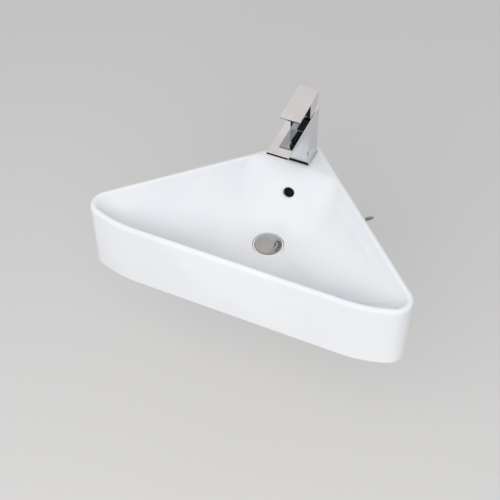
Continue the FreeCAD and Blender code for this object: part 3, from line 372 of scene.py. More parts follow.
FLOOR_PAINT = Finish("floor_paint", srgb(224, 222, 219), srgb(224, 222, 219), 0.5, 0.7, 0.1, 0.01, 0.0001)


# ---------------------------------------------------------------- shaping

def around(ring: Sequence) -> list[tuple]:
    """Pair each item of a closed ring with the next one."""
    return list(zip(ring, ring[1:] + ring[:1]))


def only_vertices(items: Sequence) -> Ring:
    """Pick the vertices out of what an operator made."""
    return [item for item in items if isinstance(item, bmesh.types.BMVert)]


def grow(mesh: Mesh, ring: Ring, places: Sequence[Vector]) -> Ring:
    """Extrude a closed ring of vertices and move the new ring to its places.

    Args:
        mesh: the mesh.
        ring: vertices of the last ring, in order.
        places: where the new vertices go.

    Returns:
        The new vertices, in the same order.
    """
    edges = [mesh.edges.get(pair) for pair in around(ring)]
    fresh = set(only_vertices(bmesh.ops.extrude_edge_only(mesh, edges=edges)["geom"]))
    grown = [next(edge.other_vert(vertex) for edge in vertex.link_edges
                  if edge.other_vert(vertex) in fresh) for vertex in ring]
    for vertex, place in zip(grown, places):
        vertex.co = place
    return grown


def cap(mesh: Mesh, ring: Ring) -> None:
    """Close a ring with one face."""
    bmesh.ops.contextual_create(mesh, geom=[mesh.edges.get(pair) for pair in around(ring)])


def stack(rings: Sequence[Sequence[Vector]]) -> Mesh:
    """Build a closed form from rings of places, each joined to the next, capped at both ends.

    Args:
        rings: the places of each ring, all with as many places.

    Returns:
        The mesh.
    """
    mesh = bmesh.new()
    ring = bmesh.ops.create_circle(mesh, cap_ends=False, segments=len(rings[0]), radius=1)["verts"]
    for vertex, place in zip(ring, rings[0]):
        vertex.co = place
    cap(mesh, ring)
    for places in rings[1:]:
        ring = grow(mesh, ring, places)
    cap(mesh, ring)
    return mesh


def soften(corners: Sequence[Corner]) -> list[tuple[float, float]]:
    """Round the corners of an outline.

    Args:
        corners: across, up and, where a corner is round, its radius.

    Returns:
        The points of the rounded outline.
    """
    points: list[tuple[float, float]] = []
    for index, corner in enumerate(corners):
        here = Vector(corner[:2])
        radius = corner[2] if len(corner) > 2 else 0
        if not radius:
            points.append((here.x, here.y))
            continue
        before = (Vector(corners[index - 1][:2]) - here).normalized()
        after = (Vector(corners[(index + 1) % len(corners)][:2]) - here).normalized()
        half = before.angle(after) / 2
        middle = here + (before + after).normalized() * radius / math.sin(half)
        reach = radius / math.tan(half)
        start = here + before * reach - middle
        turn = start.angle_signed(here + after * reach - middle)
        for step in range(ROUNDING_STEPS + 1):
            spoke = start.copy()
            spoke.rotate(Matrix.Rotation(-turn * step / ROUNDING_STEPS, 2))
            points.append(tuple(middle + spoke))
    return points


def outline_wire(mesh: Mesh, points: Sequence[Vector]) -> list[bmesh.types.BMEdge]:
    """Draw a closed outline of edges through points."""
    vertices = [mesh.verts.new(point) for point in points]
    return [mesh.edges.new(pair) for pair in around(vertices)]


def lathe(corners: Sequence[Corner], sides: int = 96) -> Mesh:
    """Turn a closed outline of radius and height about the vertical axis.

    Args:
        corners: radius, height and, where a corner is round, its rounding.
        sides: steps of the turn.

    Returns:
        The turned mesh.
    """
    mesh = bmesh.new()
    edges = outline_wire(mesh, [Vector((across, 0, up)) for across, up in soften(corners)])
    bmesh.ops.spin(mesh, geom=edges + mesh.verts[:], cent=(0, 0, 0), axis=(0, 0, 1), dvec=(0, 0, 0),
                   angle=2 * math.pi, steps=sides, use_merge=True)
    bmesh.ops.remove_doubles(mesh, verts=mesh.verts, dist=1e-4)
    on_axis = [edge for edge in mesh.edges if not edge.link_faces]
    bmesh.ops.delete(mesh, geom=on_axis, context="EDGES")
    return mesh


def cylinder(radius: float, low: float, high: float, sides: int = 96) -> Mesh:
    """Turn a plain cylinder, for cutting a bore."""
    return lathe([(0, low), (radius, low), (radius, high), (0, high)], sides)


def slab(corners: Sequence[Corner], half_width: float, rounding: float = 0.0) -> Mesh:
    """Extrude an outline in the YZ plane across the middle, and round its edges.

    Args:
        corners: distance along Y and height of each corner.
        half_width: reach to each side along X.
        rounding: rounding of every edge.

    Returns:
        The mesh.
    """
    mesh = bmesh.new()
    points = [Vector((-half_width, along, up)) for along, up in soften(corners)]
    face = bmesh.ops.contextual_create(mesh, geom=outline_wire(mesh, points))["faces"]
    far = bmesh.ops.extrude_face_region(mesh, geom=face, use_keep_orig=True)["geom"]
    bmesh.ops.translate(mesh, verts=only_vertices(far), vec=(2 * half_width, 0, 0))
    bmesh.ops.recalc_face_normals(mesh, faces=mesh.faces)
    if rounding:
        round_off(mesh, rounding, lambda edge: edge.calc_face_angle(0) > SHARP_TURN)
    return mesh


def plate(corners: Sequence[Corner], low: float, high: float, rounding: float = 0.0) -> Mesh:
    """Extrude a plan upwards, and round its edges.

    Args:
        corners: X, Y and, where a corner is round, its radius.
        low: lower face.
        high: upper face.
        rounding: rounding of its upper and lower edges.

    Returns:
        The mesh.
    """
    return tiers([(corners, low), (corners, high)], rounding)


def tiers(plans: Sequence[tuple[Sequence[Corner], float]], rounding: float = 0.0) -> Mesh:
    """Join plans at rising heights, and round the level edges.

    Args:
        plans: the corners of each plan, all with as many corners, and its height.
        rounding: rounding of the edges round each plan.

    Returns:
        The mesh.
    """
    mesh = stack([[Vector((*point, height)) for point in soften(corners)]
                  for corners, height in plans])
    bmesh.ops.recalc_face_normals(mesh, faces=mesh.faces)
    if rounding:
        round_off(mesh, rounding, lambda edge: edge.verts[0].co.z == edge.verts[1].co.z)
    return mesh


def round_off(mesh: Mesh, radius: float, wanted: Callable[[bmesh.types.BMEdge], bool]) -> None:
    """Round the edges that a test picks."""
    edges = [edge for edge in mesh.edges if wanted(edge)]
    bmesh.ops.bevel(mesh, geom=edges, offset=radius, offset_type="OFFSET", affect="EDGES",
                    segments=4, profile=0.5, material=-1, clamp_overlap=True)


def box_plan(half_x: float, low_y: float, high_y: float) -> list[Corner]:
    """Give the corners of a rectangle that is centred on the middle plane."""
    return [(-half_x, low_y), (half_x, low_y), (half_x, high_y), (-half_x, high_y)]


def hexagon(flats: float) -> list[Corner]:
    """Give the corners of a hexagon by its size across the flats."""
    radius = flats / math.sqrt(3)
    turns = [math.radians(60 * side) for side in range(6)]
    return [(radius * math.cos(turn), radius * math.sin(turn)) for turn in turns]


def thread(core: float, crest: float, pitch: float, low: float, high: float) -> Mesh:
    """Wind a thread's ridge round a shank, sunk into it and run out at both ends.

    Args:
        core: radius of the thread's root.
        crest: radius of its crest.
        pitch: rise in one turn.
        low: where it starts.
        high: where it ends.

    Returns:
        The ridge.
    """
    per_turn = 48
    turns = max(1, int((high - low) / pitch) - 1)
    sunk = core - THREAD_SINK
    half = pitch * THREAD_HALF
    flat = half * THREAD_FLAT
    mesh = bmesh.new()
    edges = outline_wire(mesh, [
        Vector((sunk, 0, low)), Vector((crest, 0, low + half - flat)),
        Vector((crest, 0, low + half + flat)), Vector((sunk, 0, low + half * 2))])
    start = mesh.verts[:]
    bmesh.ops.contextual_create(mesh, geom=edges)
    end = bmesh.ops.spin(mesh, geom=edges + start, cent=(0, 0, 0), axis=(0, 0, 1),
                         dvec=(0, 0, pitch / per_turn), angle=turns * 2 * math.pi,
                         steps=turns * per_turn)
    last = only_vertices(end["geom_last"])
    bmesh.ops.contextual_create(mesh, geom=[edge for edge in mesh.edges
                                            if set(edge.verts) <= set(last)])
    for vertex in start + last:
        reach = math.hypot(vertex.co.x, vertex.co.y)
        vertex.co.x *= sunk / reach
        vertex.co.y *= sunk / reach
    bmesh.ops.recalc_face_normals(mesh, faces=mesh.faces)
    return mesh


def moved(mesh: Mesh, matrix: Matrix) -> Mesh:
    """Move a mesh and hand it on."""
    bmesh.ops.transform(mesh, matrix=matrix, verts=mesh.verts)
    return mesh


def on_middle(distance: float, up: float = 0.0) -> Matrix:
    """Give a place on the middle plane, by its distance from the corner."""
    return Matrix.Translation((0, -distance, up))


def wall_axes(distance: float, drop: float) -> list[Matrix]:
    """Give the axes that point into the right and into the left wall.

    Args:
        distance: how far along each wall they stand from the corner.
        drop: how far they lie below the rim.

    Returns:
        The right axis and the left one.
    """
    along = distance * ROOT_HALF
    axes = []
    for hand in (1, -1):
        turn = Vector((0, 0, 1)).rotation_difference(Vector((hand, 1, 0)))
        axes.append(Matrix.Translation((along * hand, -along, -drop)) @ turn.to_matrix().to_4x4())
    return axes


def linked(name: str, data: bpy.types.ID) -> Thing:
    """Make an object of some data and put it in the scene."""
    thing = bpy.data.objects.new(name, data)
    bpy.context.scene.collection.objects.link(thing)
    return thing


def discard(thing: Thing) -> None:
    """Take an object out of the scene with its mesh."""
    data = thing.data
    bpy.data.objects.remove(thing)
    bpy.data.meshes.remove(data)


def as_object(name: str, mesh: Mesh, finish: Finish) -> Thing:
    """Make an object of a mesh, with its faces outward.

    Args:
        name: name of the object.
        mesh: its mesh, which is used up.
        finish: its finish.

    Returns:
        The object.
    """
    bmesh.ops.recalc_face_normals(mesh, faces=mesh.faces)
    data = bpy.data.meshes.new(name)
    mesh.to_mesh(data)
    mesh.free()
    data.materials.append(finish.material())
    return linked(name, data)


def combine(thing: Thing, others: Sequence[Thing], operation: str) -> Thing:
    """Cut other objects out of one, or join them to it, and remove them.

    Args:
        thing: the object that stays.
        others: the objects that are used up.
        operation: DIFFERENCE or UNION.

    Returns:
        The object that stays.
    """
    for other in others:
        tool = thing.modifiers.new("tool", "BOOLEAN")
        tool.operation = operation
        tool.solver = "EXACT"
        tool.material_mode = "TRANSFER"
        tool.object = other
    shaped = bpy.data.meshes.new_from_object(
        thing.evaluated_get(bpy.context.evaluated_depsgraph_get()))
    old = thing.data
    thing.modifiers.clear()
    thing.data = shaped
    shaped.name = thing.name
    bpy.data.meshes.remove(old)
    for other in others:
        discard(other)
    return thing


def cut(thing: Thing, finish: Finish, *cutters: Mesh) -> Thing:
    """Cut meshes out of an object, whose cut faces take a finish."""
    return combine(thing, [as_object("cutter", mesh, finish) for mesh in cutters], "DIFFERENCE")


def join(first: Mesh, second: Mesh) -> Mesh:
    """Add a second mesh's shell to the first.

    Args:
        first: the mesh that stays.
        second: the mesh that is used up.

    Returns:
        The mesh that stays.
    """
    data = bpy.data.meshes.new("shell")
    second.to_mesh(data)
    second.free()
    first.from_mesh(data)
    bpy.data.meshes.remove(data)
    return first


def deliver(thing: Thing, body: Body, slot: Slot, *nodes: str, sharp: float = 32.0) -> None:
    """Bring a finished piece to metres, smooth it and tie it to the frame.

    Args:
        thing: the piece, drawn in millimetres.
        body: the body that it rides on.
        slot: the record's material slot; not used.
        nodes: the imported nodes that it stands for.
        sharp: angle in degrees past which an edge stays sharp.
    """
    mesh = bmesh.new()
    mesh.from_mesh(thing.data)
    bmesh.ops.remove_doubles(mesh, verts=mesh.verts, dist=1e-3)
    bmesh.ops.dissolve_degenerate(mesh, dist=1e-3, edges=mesh.edges)
    bmesh.ops.scale(mesh, vec=(MILLIMETRE,) * 3, verts=mesh.verts)
    mesh.to_mesh(thing.data)
    mesh.free()
    thing.data.shade_smooth()
    thing.data.set_sharp_from_angle(angle=math.radians(sharp))
    weighted = thing.modifiers.new("even_shading", "WEIGHTED_NORMAL")
    weighted.keep_sharp = True
    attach(thing, body.value)
    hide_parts(*nodes)
    LOG.info("%s: %d faces on %s", thing.name, len(thing.data.polygons), body.value)


# ---------------------------------------------------------------- basin

@dataclass(frozen=True)
class Level:
    """The basin's outline at one height: its insets from the walls, and its roundings."""

    side: float
    front: float
    end: float
    blend: float
    stand_off: float
    back: float
    bend: float


@dataclass
class Basin:
    """The glazed casting: deck, rim, bowl, skirt, overflow duct and waste boss."""

    # plan, height and roundings of the casting
    wall_side: float = 500.0
    end_radius: float = 37.0
    blend_radius: float = 270.0
    front_stand_off: float = 14.5
    rear_radius: float = 15.0
    inner_rear_radius: float = 8.0
    skirt_height: float = 156.0
    skirt_wall: float = 12.0
    deck_thickness: float = 14.0
    top_rounding: float = 7.0
    foot_rounding: float = 5.0
    rim_rounding: float = 4.5
    deck_edge_rounding: float = 20.0
    deck_edge_from: float = 0.2
    deck_edge_over: float = 1.6
    # rim, deck and bowl, whose curves give a run, a power and a root
    rim_width: float = 12.0
    deck_depth: float = 110.0
    bowl_depth: float = 100.0
    fullness: float = 0.985
    late_power: int = 4
    end_shrink: float = 1.2
    blend_shrink: float = 0.77
    front_flattening: float = 0.9
    side_curve: tuple[float, float, float] = (164.2, 1.28, 0.43)
    front_curve: tuple[float, float, float] = (351.0, 3.26, 0.115)
    back_curve: tuple[float, float, float] = (119.9, 1.42, 0.72)
    # corners and flat panel of the back of the bowl
    back_bend: float = 26.0
    back_bend_growth: float = 80.0
    panel_slope: float = 0.758
    panel_depth: float = 62.0
    panel_share: float = 0.8
    crease_blend: float = 5.0
    # walls under the bowl, boss, and seat of the waste
    bowl_shell: float = 8.0
    floor_shell: float = 10.0
    waste_place: float = 241.0
    boss_radius: float = 38.0
    boss_rounding: float = 3.0
    boss_drop: float = 138.0
    waste_hole: float = 23.0
    recess_radius: float = 33.0
    recess_drop: float = 102.0
    recess_wall: float = 2.6
    recess_reach: float = 8.0
    seat_fall: float = 0.6
    dish_blend: float = 2.5
    floor_fall: float = 2.0
    floor_middle: float = 250.0
    floor_shares: tuple[float, ...] = (0.12, 0.3, 0.5, 0.68, 0.84)
    rim_shares: tuple[float, ...] = (0.25, 0.5, 0.75)
    smoothed_depths: tuple[float, float] = (90.0, 109.0)
    smoothing_passes: int = 8
    # overflow hole and the duct behind it
    overflow_across: float = 12.0
    overflow_along: float = 10.0
    overflow_mouth: tuple[float, float] = (138.7, 39.9)
    overflow_low: float = 2.2
    overflow_rim: float = 15.6
    overflow_flare: float = 5.0
    overflow_turn: float = 50.0
    overflow_into_duct: float = 0.7
    overflow_sides: int = 96
    overflow_place: float = 135.0
    overflow_drop: float = 42.0
    panel_lean: float = 36.6
    duct_width: float = 28.0
    duct_gap: float = 14.0
    duct_skin: float = 6.0
    duct_wall: float = 9.0
    duct_rise: float = 20.0
    duct_fall: float = 28.0
    duct_turn: float = 58.0
    duct_end: float = 19.0
    duct_drop: float = 127.0
    duct_tilt: float = 5.0
    duct_rounding: float = 4.0
    # holes for the tap and the wall fixings
    tap_place: float = 66.0
    tap_hole: float = 17.5
    fixing_place: float = 190.0
    fixing_drop: float = 85.0
    fixing_hole: float = 8.0
    cut_over: float = 9.0
    # steps of each stretch of the outline, and how finely rings follow
    steps: tuple[int, ...] = (16, 12, 26, 44, 10, 12)
    wall_rings: int = 34
    wall_crowding: float = 2.1
    shell_rings: int = 16
    shell_crowding: float = 1.8
    rounding_rings: int = 7
    edge_rings: int = 6

    @property
    def stations(self) -> int:
        """Give the number of stations round an outline."""
        return 2 * sum(self.steps)

    def from_front(self, station: int) -> int:
        """Count the steps between a station and the middle of the front, by the nearer side."""
        return min(station, self.stations - station)

    def plan(self, inset: float, rear: float) -> Level:
        """Give the outline of the casting, set in all round, with its rear rounding."""
        return Level(inset, inset, self.end_radius - inset, self.blend_radius - inset,
                     self.front_stand_off, 0.0, rear)

    def bowl(self, depth: float, thicker: float = 0.0) -> Level:
        """Give the outline of the bowl at a depth.

        Args:
            depth: depth under the rim.
            thicker: how far outside the bowl's face the outline lies.

        Returns:
            The outline.
        """
        share = depth / self.bowl_depth
        late = share ** self.late_power

        def come_in(curve: tuple[float, float, float]) -> float:
            """Work out how far a wall has come in at this depth."""
            run, power, root = curve
            return run * (1 - (1 - (share * self.fullness) ** power) ** root)

        flat = self.panel_slope * depth
        fall = self.back_curve[0] - (self.bowl_depth - depth) * (
            (self.back_curve[0] - self.panel_slope * self.panel_depth)
            / (self.bowl_depth - self.panel_depth))
        creased = (flat + fall + math.hypot(flat - fall, self.crease_blend)) / 2
        back = come_in(self.back_curve)
        back += (creased - back) * self.panel_share * (1 - late)
        rim = self.rim_width - thicker
        return Level(rim + come_in(self.side_curve), rim + come_in(self.front_curve),
                     (self.end_radius - self.rim_width) * (1 + share - self.end_shrink * late) + thicker,
                     (self.blend_radius - self.rim_width) * (1 - self.blend_shrink * late) + thicker,
                     self.front_stand_off * (1 - self.front_flattening * late),
                     self.deck_depth - thicker + back,
                     self.back_bend + self.back_bend_growth * share * (1 - share ** 3))

    def spot(self, level: Level, station: int) -> tuple[Vector, Vector]:
        """Find a station on an outline.

        Args:
            level: the outline.
            station: number of the point, from the middle of the front round by the right.

        Returns:
            The point and the outward direction there, both in plan.
        """
        hand = 1 if 2 * station <= self.stations else -1
        left = self.from_front(station)
        stretch = 0
        while left > self.steps[stretch]:
            left -= self.steps[stretch]
            stretch += 1
        share = left / self.steps[stretch]
        depth = self.wall_side * ROOT_HALF + self.end_radius + self.front_stand_off
        line = depth - level.front
        end_y = line - level.end - level.stand_off
        end_x = end_y - ROOT_TWO * (level.side + level.end)
        span = level.blend - level.end
        lean = math.asin(math.sqrt(level.stand_off * (2 * span - level.stand_off)) / span)
        straight = end_x - span * math.sin(lean)
        side_start = Vector((end_x + level.end * ROOT_HALF, level.end * ROOT_HALF - end_y))
        corner = level.back - level.side * ROOT_TWO
        touch = level.bend * math.tan(math.pi / 8)
        bend_middle = Vector((corner - touch, -level.back - level.bend))
        if not level.back:
            shoulder = self.deck_depth - self.rim_width * ROOT_HALF + touch
            foot = Vector((shoulder - level.side * ROOT_HALF, -shoulder - level.side * ROOT_HALF))
            bend_middle = Vector((0, -ROOT_TWO * (level.side + level.bend)))
        slanting = Vector((ROOT_HALF, ROOT_HALF))
        bend_start = bend_middle + slanting * level.bend
        side_end = bend_start if level.back else foot

        def arc(middle: Vector, radius: float, first: float, last: float) -> tuple[Vector, Vector]:
            """Go round an arc by the share of this stretch."""
            angle = first + (last - first) * share
            spoke = Vector((math.cos(angle), math.sin(angle)))
            return middle + spoke * radius, spoke

        down = -math.pi / 2
        if stretch == Stretch.FRONT:
            point, out = Vector((straight * share, -line)), Vector((0, -1))
        elif stretch == Stretch.BLEND:
            point, out = arc(Vector((straight, level.blend - line)), level.blend, down, down + lean)
        elif stretch == Stretch.END:
            point, out = arc(Vector((end_x, -end_y)), level.end, down + lean, math.pi / 4)
        elif stretch == Stretch.SIDE:
            point, out = side_start.lerp(side_end, share), slanting
        elif stretch == Stretch.SHOULDER and not level.back:
            point, out = foot.lerp(bend_start, share), slanting
        elif stretch == Stretch.BACK and level.back:
            point, out = Vector((bend_middle.x * (1 - share), -level.back)), Vector((0, 1))
        else:
            point, out = arc(bend_middle, level.bend, math.pi / 4, math.pi / 2)
        return Vector((point.x * hand, point.y)), Vector((out.x * hand, out.y))

    def loop(self, level: Level, height: float) -> list[Vector]:
        """Give all points of an outline at one height."""
        return [Vector((*self.spot(level, station)[0], height)) for station in range(self.stations)]

    def edge_radius(self, station: int) -> float:
        """Give the rounding of the bowl's edge: small along the rim, large along the deck.

        Args:
            station: number of the point on the outline.

        Returns:
            The radius.
        """
        past_side = self.from_front(station) - sum(self.steps[:Stretch.SHOULDER])
        past = past_side / self.steps[Stretch.SHOULDER] - self.deck_edge_from
        near = min(1.0, max(0.0, past / self.deck_edge_over))
        near = near * near * (3 - 2 * near)
        return self.rim_rounding + (self.deck_edge_rounding - self.rim_rounding) * near

    def into_dish(self, point: Vector) -> Vector:
        """Lower a point of the bowl's floor into the shallow dish round the waste.

        Args:
            point: the point on the plain bowl.

        Returns:
            The point in the dish.
        """
        away = math.hypot(point.x, point.y + self.waste_place)
        dish = max(0.0, away - self.recess_radius) - self.recess_drop
        share = min(1.0, max(0.0, 0.5 + (dish - point.z) / (2 * self.dish_blend)))
        low = dish + (point.z - dish) * share - self.dish_blend * share * (1 - share)
        return Vector((point.x, point.y, low))

    def bowl_rings(self) -> list[list[Vector]]:
        """Give the rings of the bowl from the middle of its floor up to the flat rim.

        Returns:
            The points of each ring.
        """
        stations = range(self.stations)
        rings = []
        floor = [self.spot(self.bowl(self.bowl_depth), station)[0] for station in stations]
        middle = Vector((0, -self.floor_middle))
        for share in self.floor_shares:
            low = -self.bowl_depth - self.floor_fall * (1 - share) ** 2
            rings.append([Vector((*middle.lerp(point, share), low)) for point in floor])
        for ring in range(self.wall_rings):
            share = (ring / self.wall_rings) ** self.wall_crowding
            rings.append([self.wall_point(station, share) for station in stations])
        for ring in range(self.rounding_rings + 1):
            angle = math.pi / 2 * ring / self.rounding_rings
            places = []
            for station in stations:
                radius = self.edge_radius(station)
                depth = radius * (1 - math.sin(angle))
                point, out = self.spot(self.bowl(depth), station)
                point = point + out * radius * (1 - math.cos(angle))
                places.append(Vector((*point, -depth)))
            rings.append(places)
        return [[self.into_dish(point) for point in ring] for ring in rings]

    def wall_point(self, station: int, share: float) -> Vector:
        """Find a point on the bowl's wall by its share of the way from the floor to the edge."""
        radius = self.edge_radius(station)
        depth = self.bowl_depth + (radius - self.bowl_depth) * share
        return Vector((*self.spot(self.bowl(depth), station)[0], -depth))

    def casting(self) -> Mesh:
        """Build the bowl, deck, rim and skirt as one closed form with a flat underside.

        Returns:
            The mesh.
        """
        rings = self.bowl_rings()
        edge = rings[-1]
        top = self.loop(self.plan(self.top_rounding, self.rear_radius - self.top_rounding), 0)
        for share in self.rim_shares:
            rings.append([inner.lerp(outer, share) for inner, outer in zip(edge, top)])
        turns = [math.pi / 2 * step / self.edge_rings for step in range(self.edge_rings + 1)]
        edges = [(self.top_rounding, -self.top_rounding, 0.0, turn) for turn in turns]
        edges += [(self.foot_rounding, self.foot_rounding, -self.skirt_height, turn)
                  for turn in reversed(turns)]
        for radius, fall, height, turn in edges:
            inset = radius * (1 - math.sin(turn))
            rings.append(self.loop(self.plan(inset, self.rear_radius - inset),
                                   height + fall * (1 - math.cos(turn))))
        mesh = stack(rings)
        shallow, deep = self.smoothed_depths
        floor = [vertex for vertex in mesh.verts if -deep < vertex.co.z < -shallow]
        for _ in range(self.smoothing_passes):
            bmesh.ops.smooth_vert(mesh, verts=floor, factor=0.5, use_axis_z=True)
        return mesh

    def behind_panel(self, rise: float, depth: float) -> Corner:
        """Find a point up along the bowl's back from the overflow, then behind it."""
        lean = math.radians(self.panel_lean)
        return (-self.overflow_place + rise * math.sin(lean) + depth * math.cos(lean),
                -self.overflow_drop + rise * math.cos(lean) - depth * math.sin(lean))

    def under_floor(self, from_waste: float, drop: float) -> Corner:
        """Find a point behind the waste's axis and below the rim."""
        return from_waste - self.waste_place, -drop

    def duct(self, wall: float, near: float, upper: tuple[float, float], rounding: float = 0.0) -> Mesh:
        """Build the overflow duct's outside, or the passage inside it.

        Args:
            wall: how far the form stands out round the passage.
            near: depth of its nearer side behind the bowl's face.
            upper: depths under the rim of its upper side, at the turn and at the end.
            rounding: rounding of its edges.

        Returns:
            The mesh.
        """
        far = self.duct_skin + self.duct_gap + wall
        top = self.duct_rise + wall
        drop = self.duct_drop + wall
        corners = [
            self.behind_panel(top, near), self.behind_panel(-self.duct_fall, near),
            self.under_floor(self.duct_turn, upper[0]), self.under_floor(self.duct_end, upper[1]),
            self.under_floor(self.duct_end, drop),
            self.under_floor(self.duct_turn + wall / 2, drop - self.duct_tilt),
            self.behind_panel(-self.duct_fall, far), self.behind_panel(top, far)]
        return slab(corners, self.duct_width / 2 + wall, rounding)

    def hollow(self) -> Thing:
        """Build the space under the deck and the bowl.

        Returns:
            The cutter.
        """
        inner = self.plan(self.skirt_wall, self.inner_rear_radius)
        space = as_object("hollow", stack([
            self.loop(inner, -self.skirt_height - self.deck_thickness),
            self.loop(inner, -self.deck_thickness)]), CLAY)
        depths = [self.bowl_depth * (1 - (1 - ring / self.shell_rings) ** self.shell_crowding)
                  for ring in range(self.shell_rings + 1)]
        shell = stack([self.loop(self.bowl(depth, self.bowl_shell), -depth - self.floor_shell)
                       for depth in depths])
        boss = lathe([(0, -self.bowl_depth), (0, -self.boss_drop),
                      (self.boss_radius, -self.boss_drop, self.boss_rounding),
                      (self.boss_radius, -self.bowl_depth)])
        duct = self.duct(self.duct_wall, 0.0, (self.bowl_depth - self.floor_shell, self.bowl_depth),
                         self.duct_rounding)
        return cut(space, CLAY, shell, moved(boss, on_middle(self.waste_place)), duct)

    def overflow(self) -> Mesh:
        """Build the overflow's cutter: an oval hole that flares to a round, on its own axis.

        Returns:
            The mesh.
        """
        turns = [2 * math.pi * side / self.overflow_sides for side in range(self.overflow_sides)]

        def oval(share: float, height: float) -> list[Vector]:
            """Give the ring that is a share of the way from the oval to the round."""
            across = self.overflow_across + (self.overflow_rim - self.overflow_across) * share
            along = self.overflow_along + (self.overflow_rim - self.overflow_along) * share
            return [Vector((across * math.cos(turn),
                            along * math.sin(turn) - self.overflow_low * (1 - share), height))
                    for turn in turns]

        flare = self.overflow_flare
        last = math.radians(self.overflow_turn)
        bends = [last * step / self.edge_rings for step in range(self.edge_rings + 1)]
        return stack([oval(0, -self.duct_skin - self.duct_gap * self.overflow_into_duct),
                      *[oval((1 - math.cos(bend)) / (1 - math.cos(last)),
                             -flare * (1 - math.sin(bend) / math.sin(last))) for bend in bends],
                      oval(1, flare * 2)])

    def holes(self) -> list[Thing]:
        """Build the cutters of the overflow, the waste, the tap hole and the wall fixings.

        Returns:
            The cutters.
        """
        mouth, drop = self.overflow_mouth
        tilt = Matrix.Rotation(math.radians(90 - self.panel_lean), 4, "X")
        overflow = moved(self.overflow(), on_middle(mouth, -drop) @ tilt)
        passage = self.duct(0.0, self.duct_skin, (self.duct_drop - self.duct_tilt - self.duct_gap,
                                                  self.duct_drop - self.duct_gap))
        seat_top = self.recess_drop + self.recess_wall
        seat_end = seat_top + (self.recess_radius - self.waste_hole) * self.seat_fall
        high = self.recess_reach - self.bowl_depth
        low = -self.boss_drop - self.cut_over
        outlet = lathe([(0, high), (0, low), (self.waste_hole, low), (self.waste_hole, -seat_end),
                        (self.recess_radius, -seat_top), (self.recess_radius, high)])
        tap = cylinder(self.tap_hole, -self.deck_thickness - self.cut_over, self.cut_over)
        # the passage's cut walls take the near-black painted shade of the duct's depth
        cutters = [("overflow", overflow, GLAZE), ("passage", passage, DUCT_PAINTED_SHADE),
                   ("outlet", moved(outlet, on_middle(self.waste_place)), GLAZE),
                   ("tap_hole", moved(tap, on_middle(self.tap_place)), CLAY)]
        for axis in wall_axes(self.fixing_place, self.fixing_drop):
            hole = cylinder(self.fixing_hole, -self.skirt_wall * 2, self.cut_over, 48)
            cutters.append(("fixing_hole", moved(hole, axis), CLAY))
        return [as_object(*cutter) for cutter in cutters]

    def build(self) -> None:
        """Cast the basin, hollow it and cut its holes."""
        basin = as_object("basin_casting", self.casting(), GLAZE)
        combine(basin, [self.hollow()], "DIFFERENCE")
        combine(basin, self.holes(), "DIFFERENCE")
        deliver(basin, Body.ROOT, Slot.GLAZE, "basin", sharp=38)


# ---------------------------------------------------------------- tap

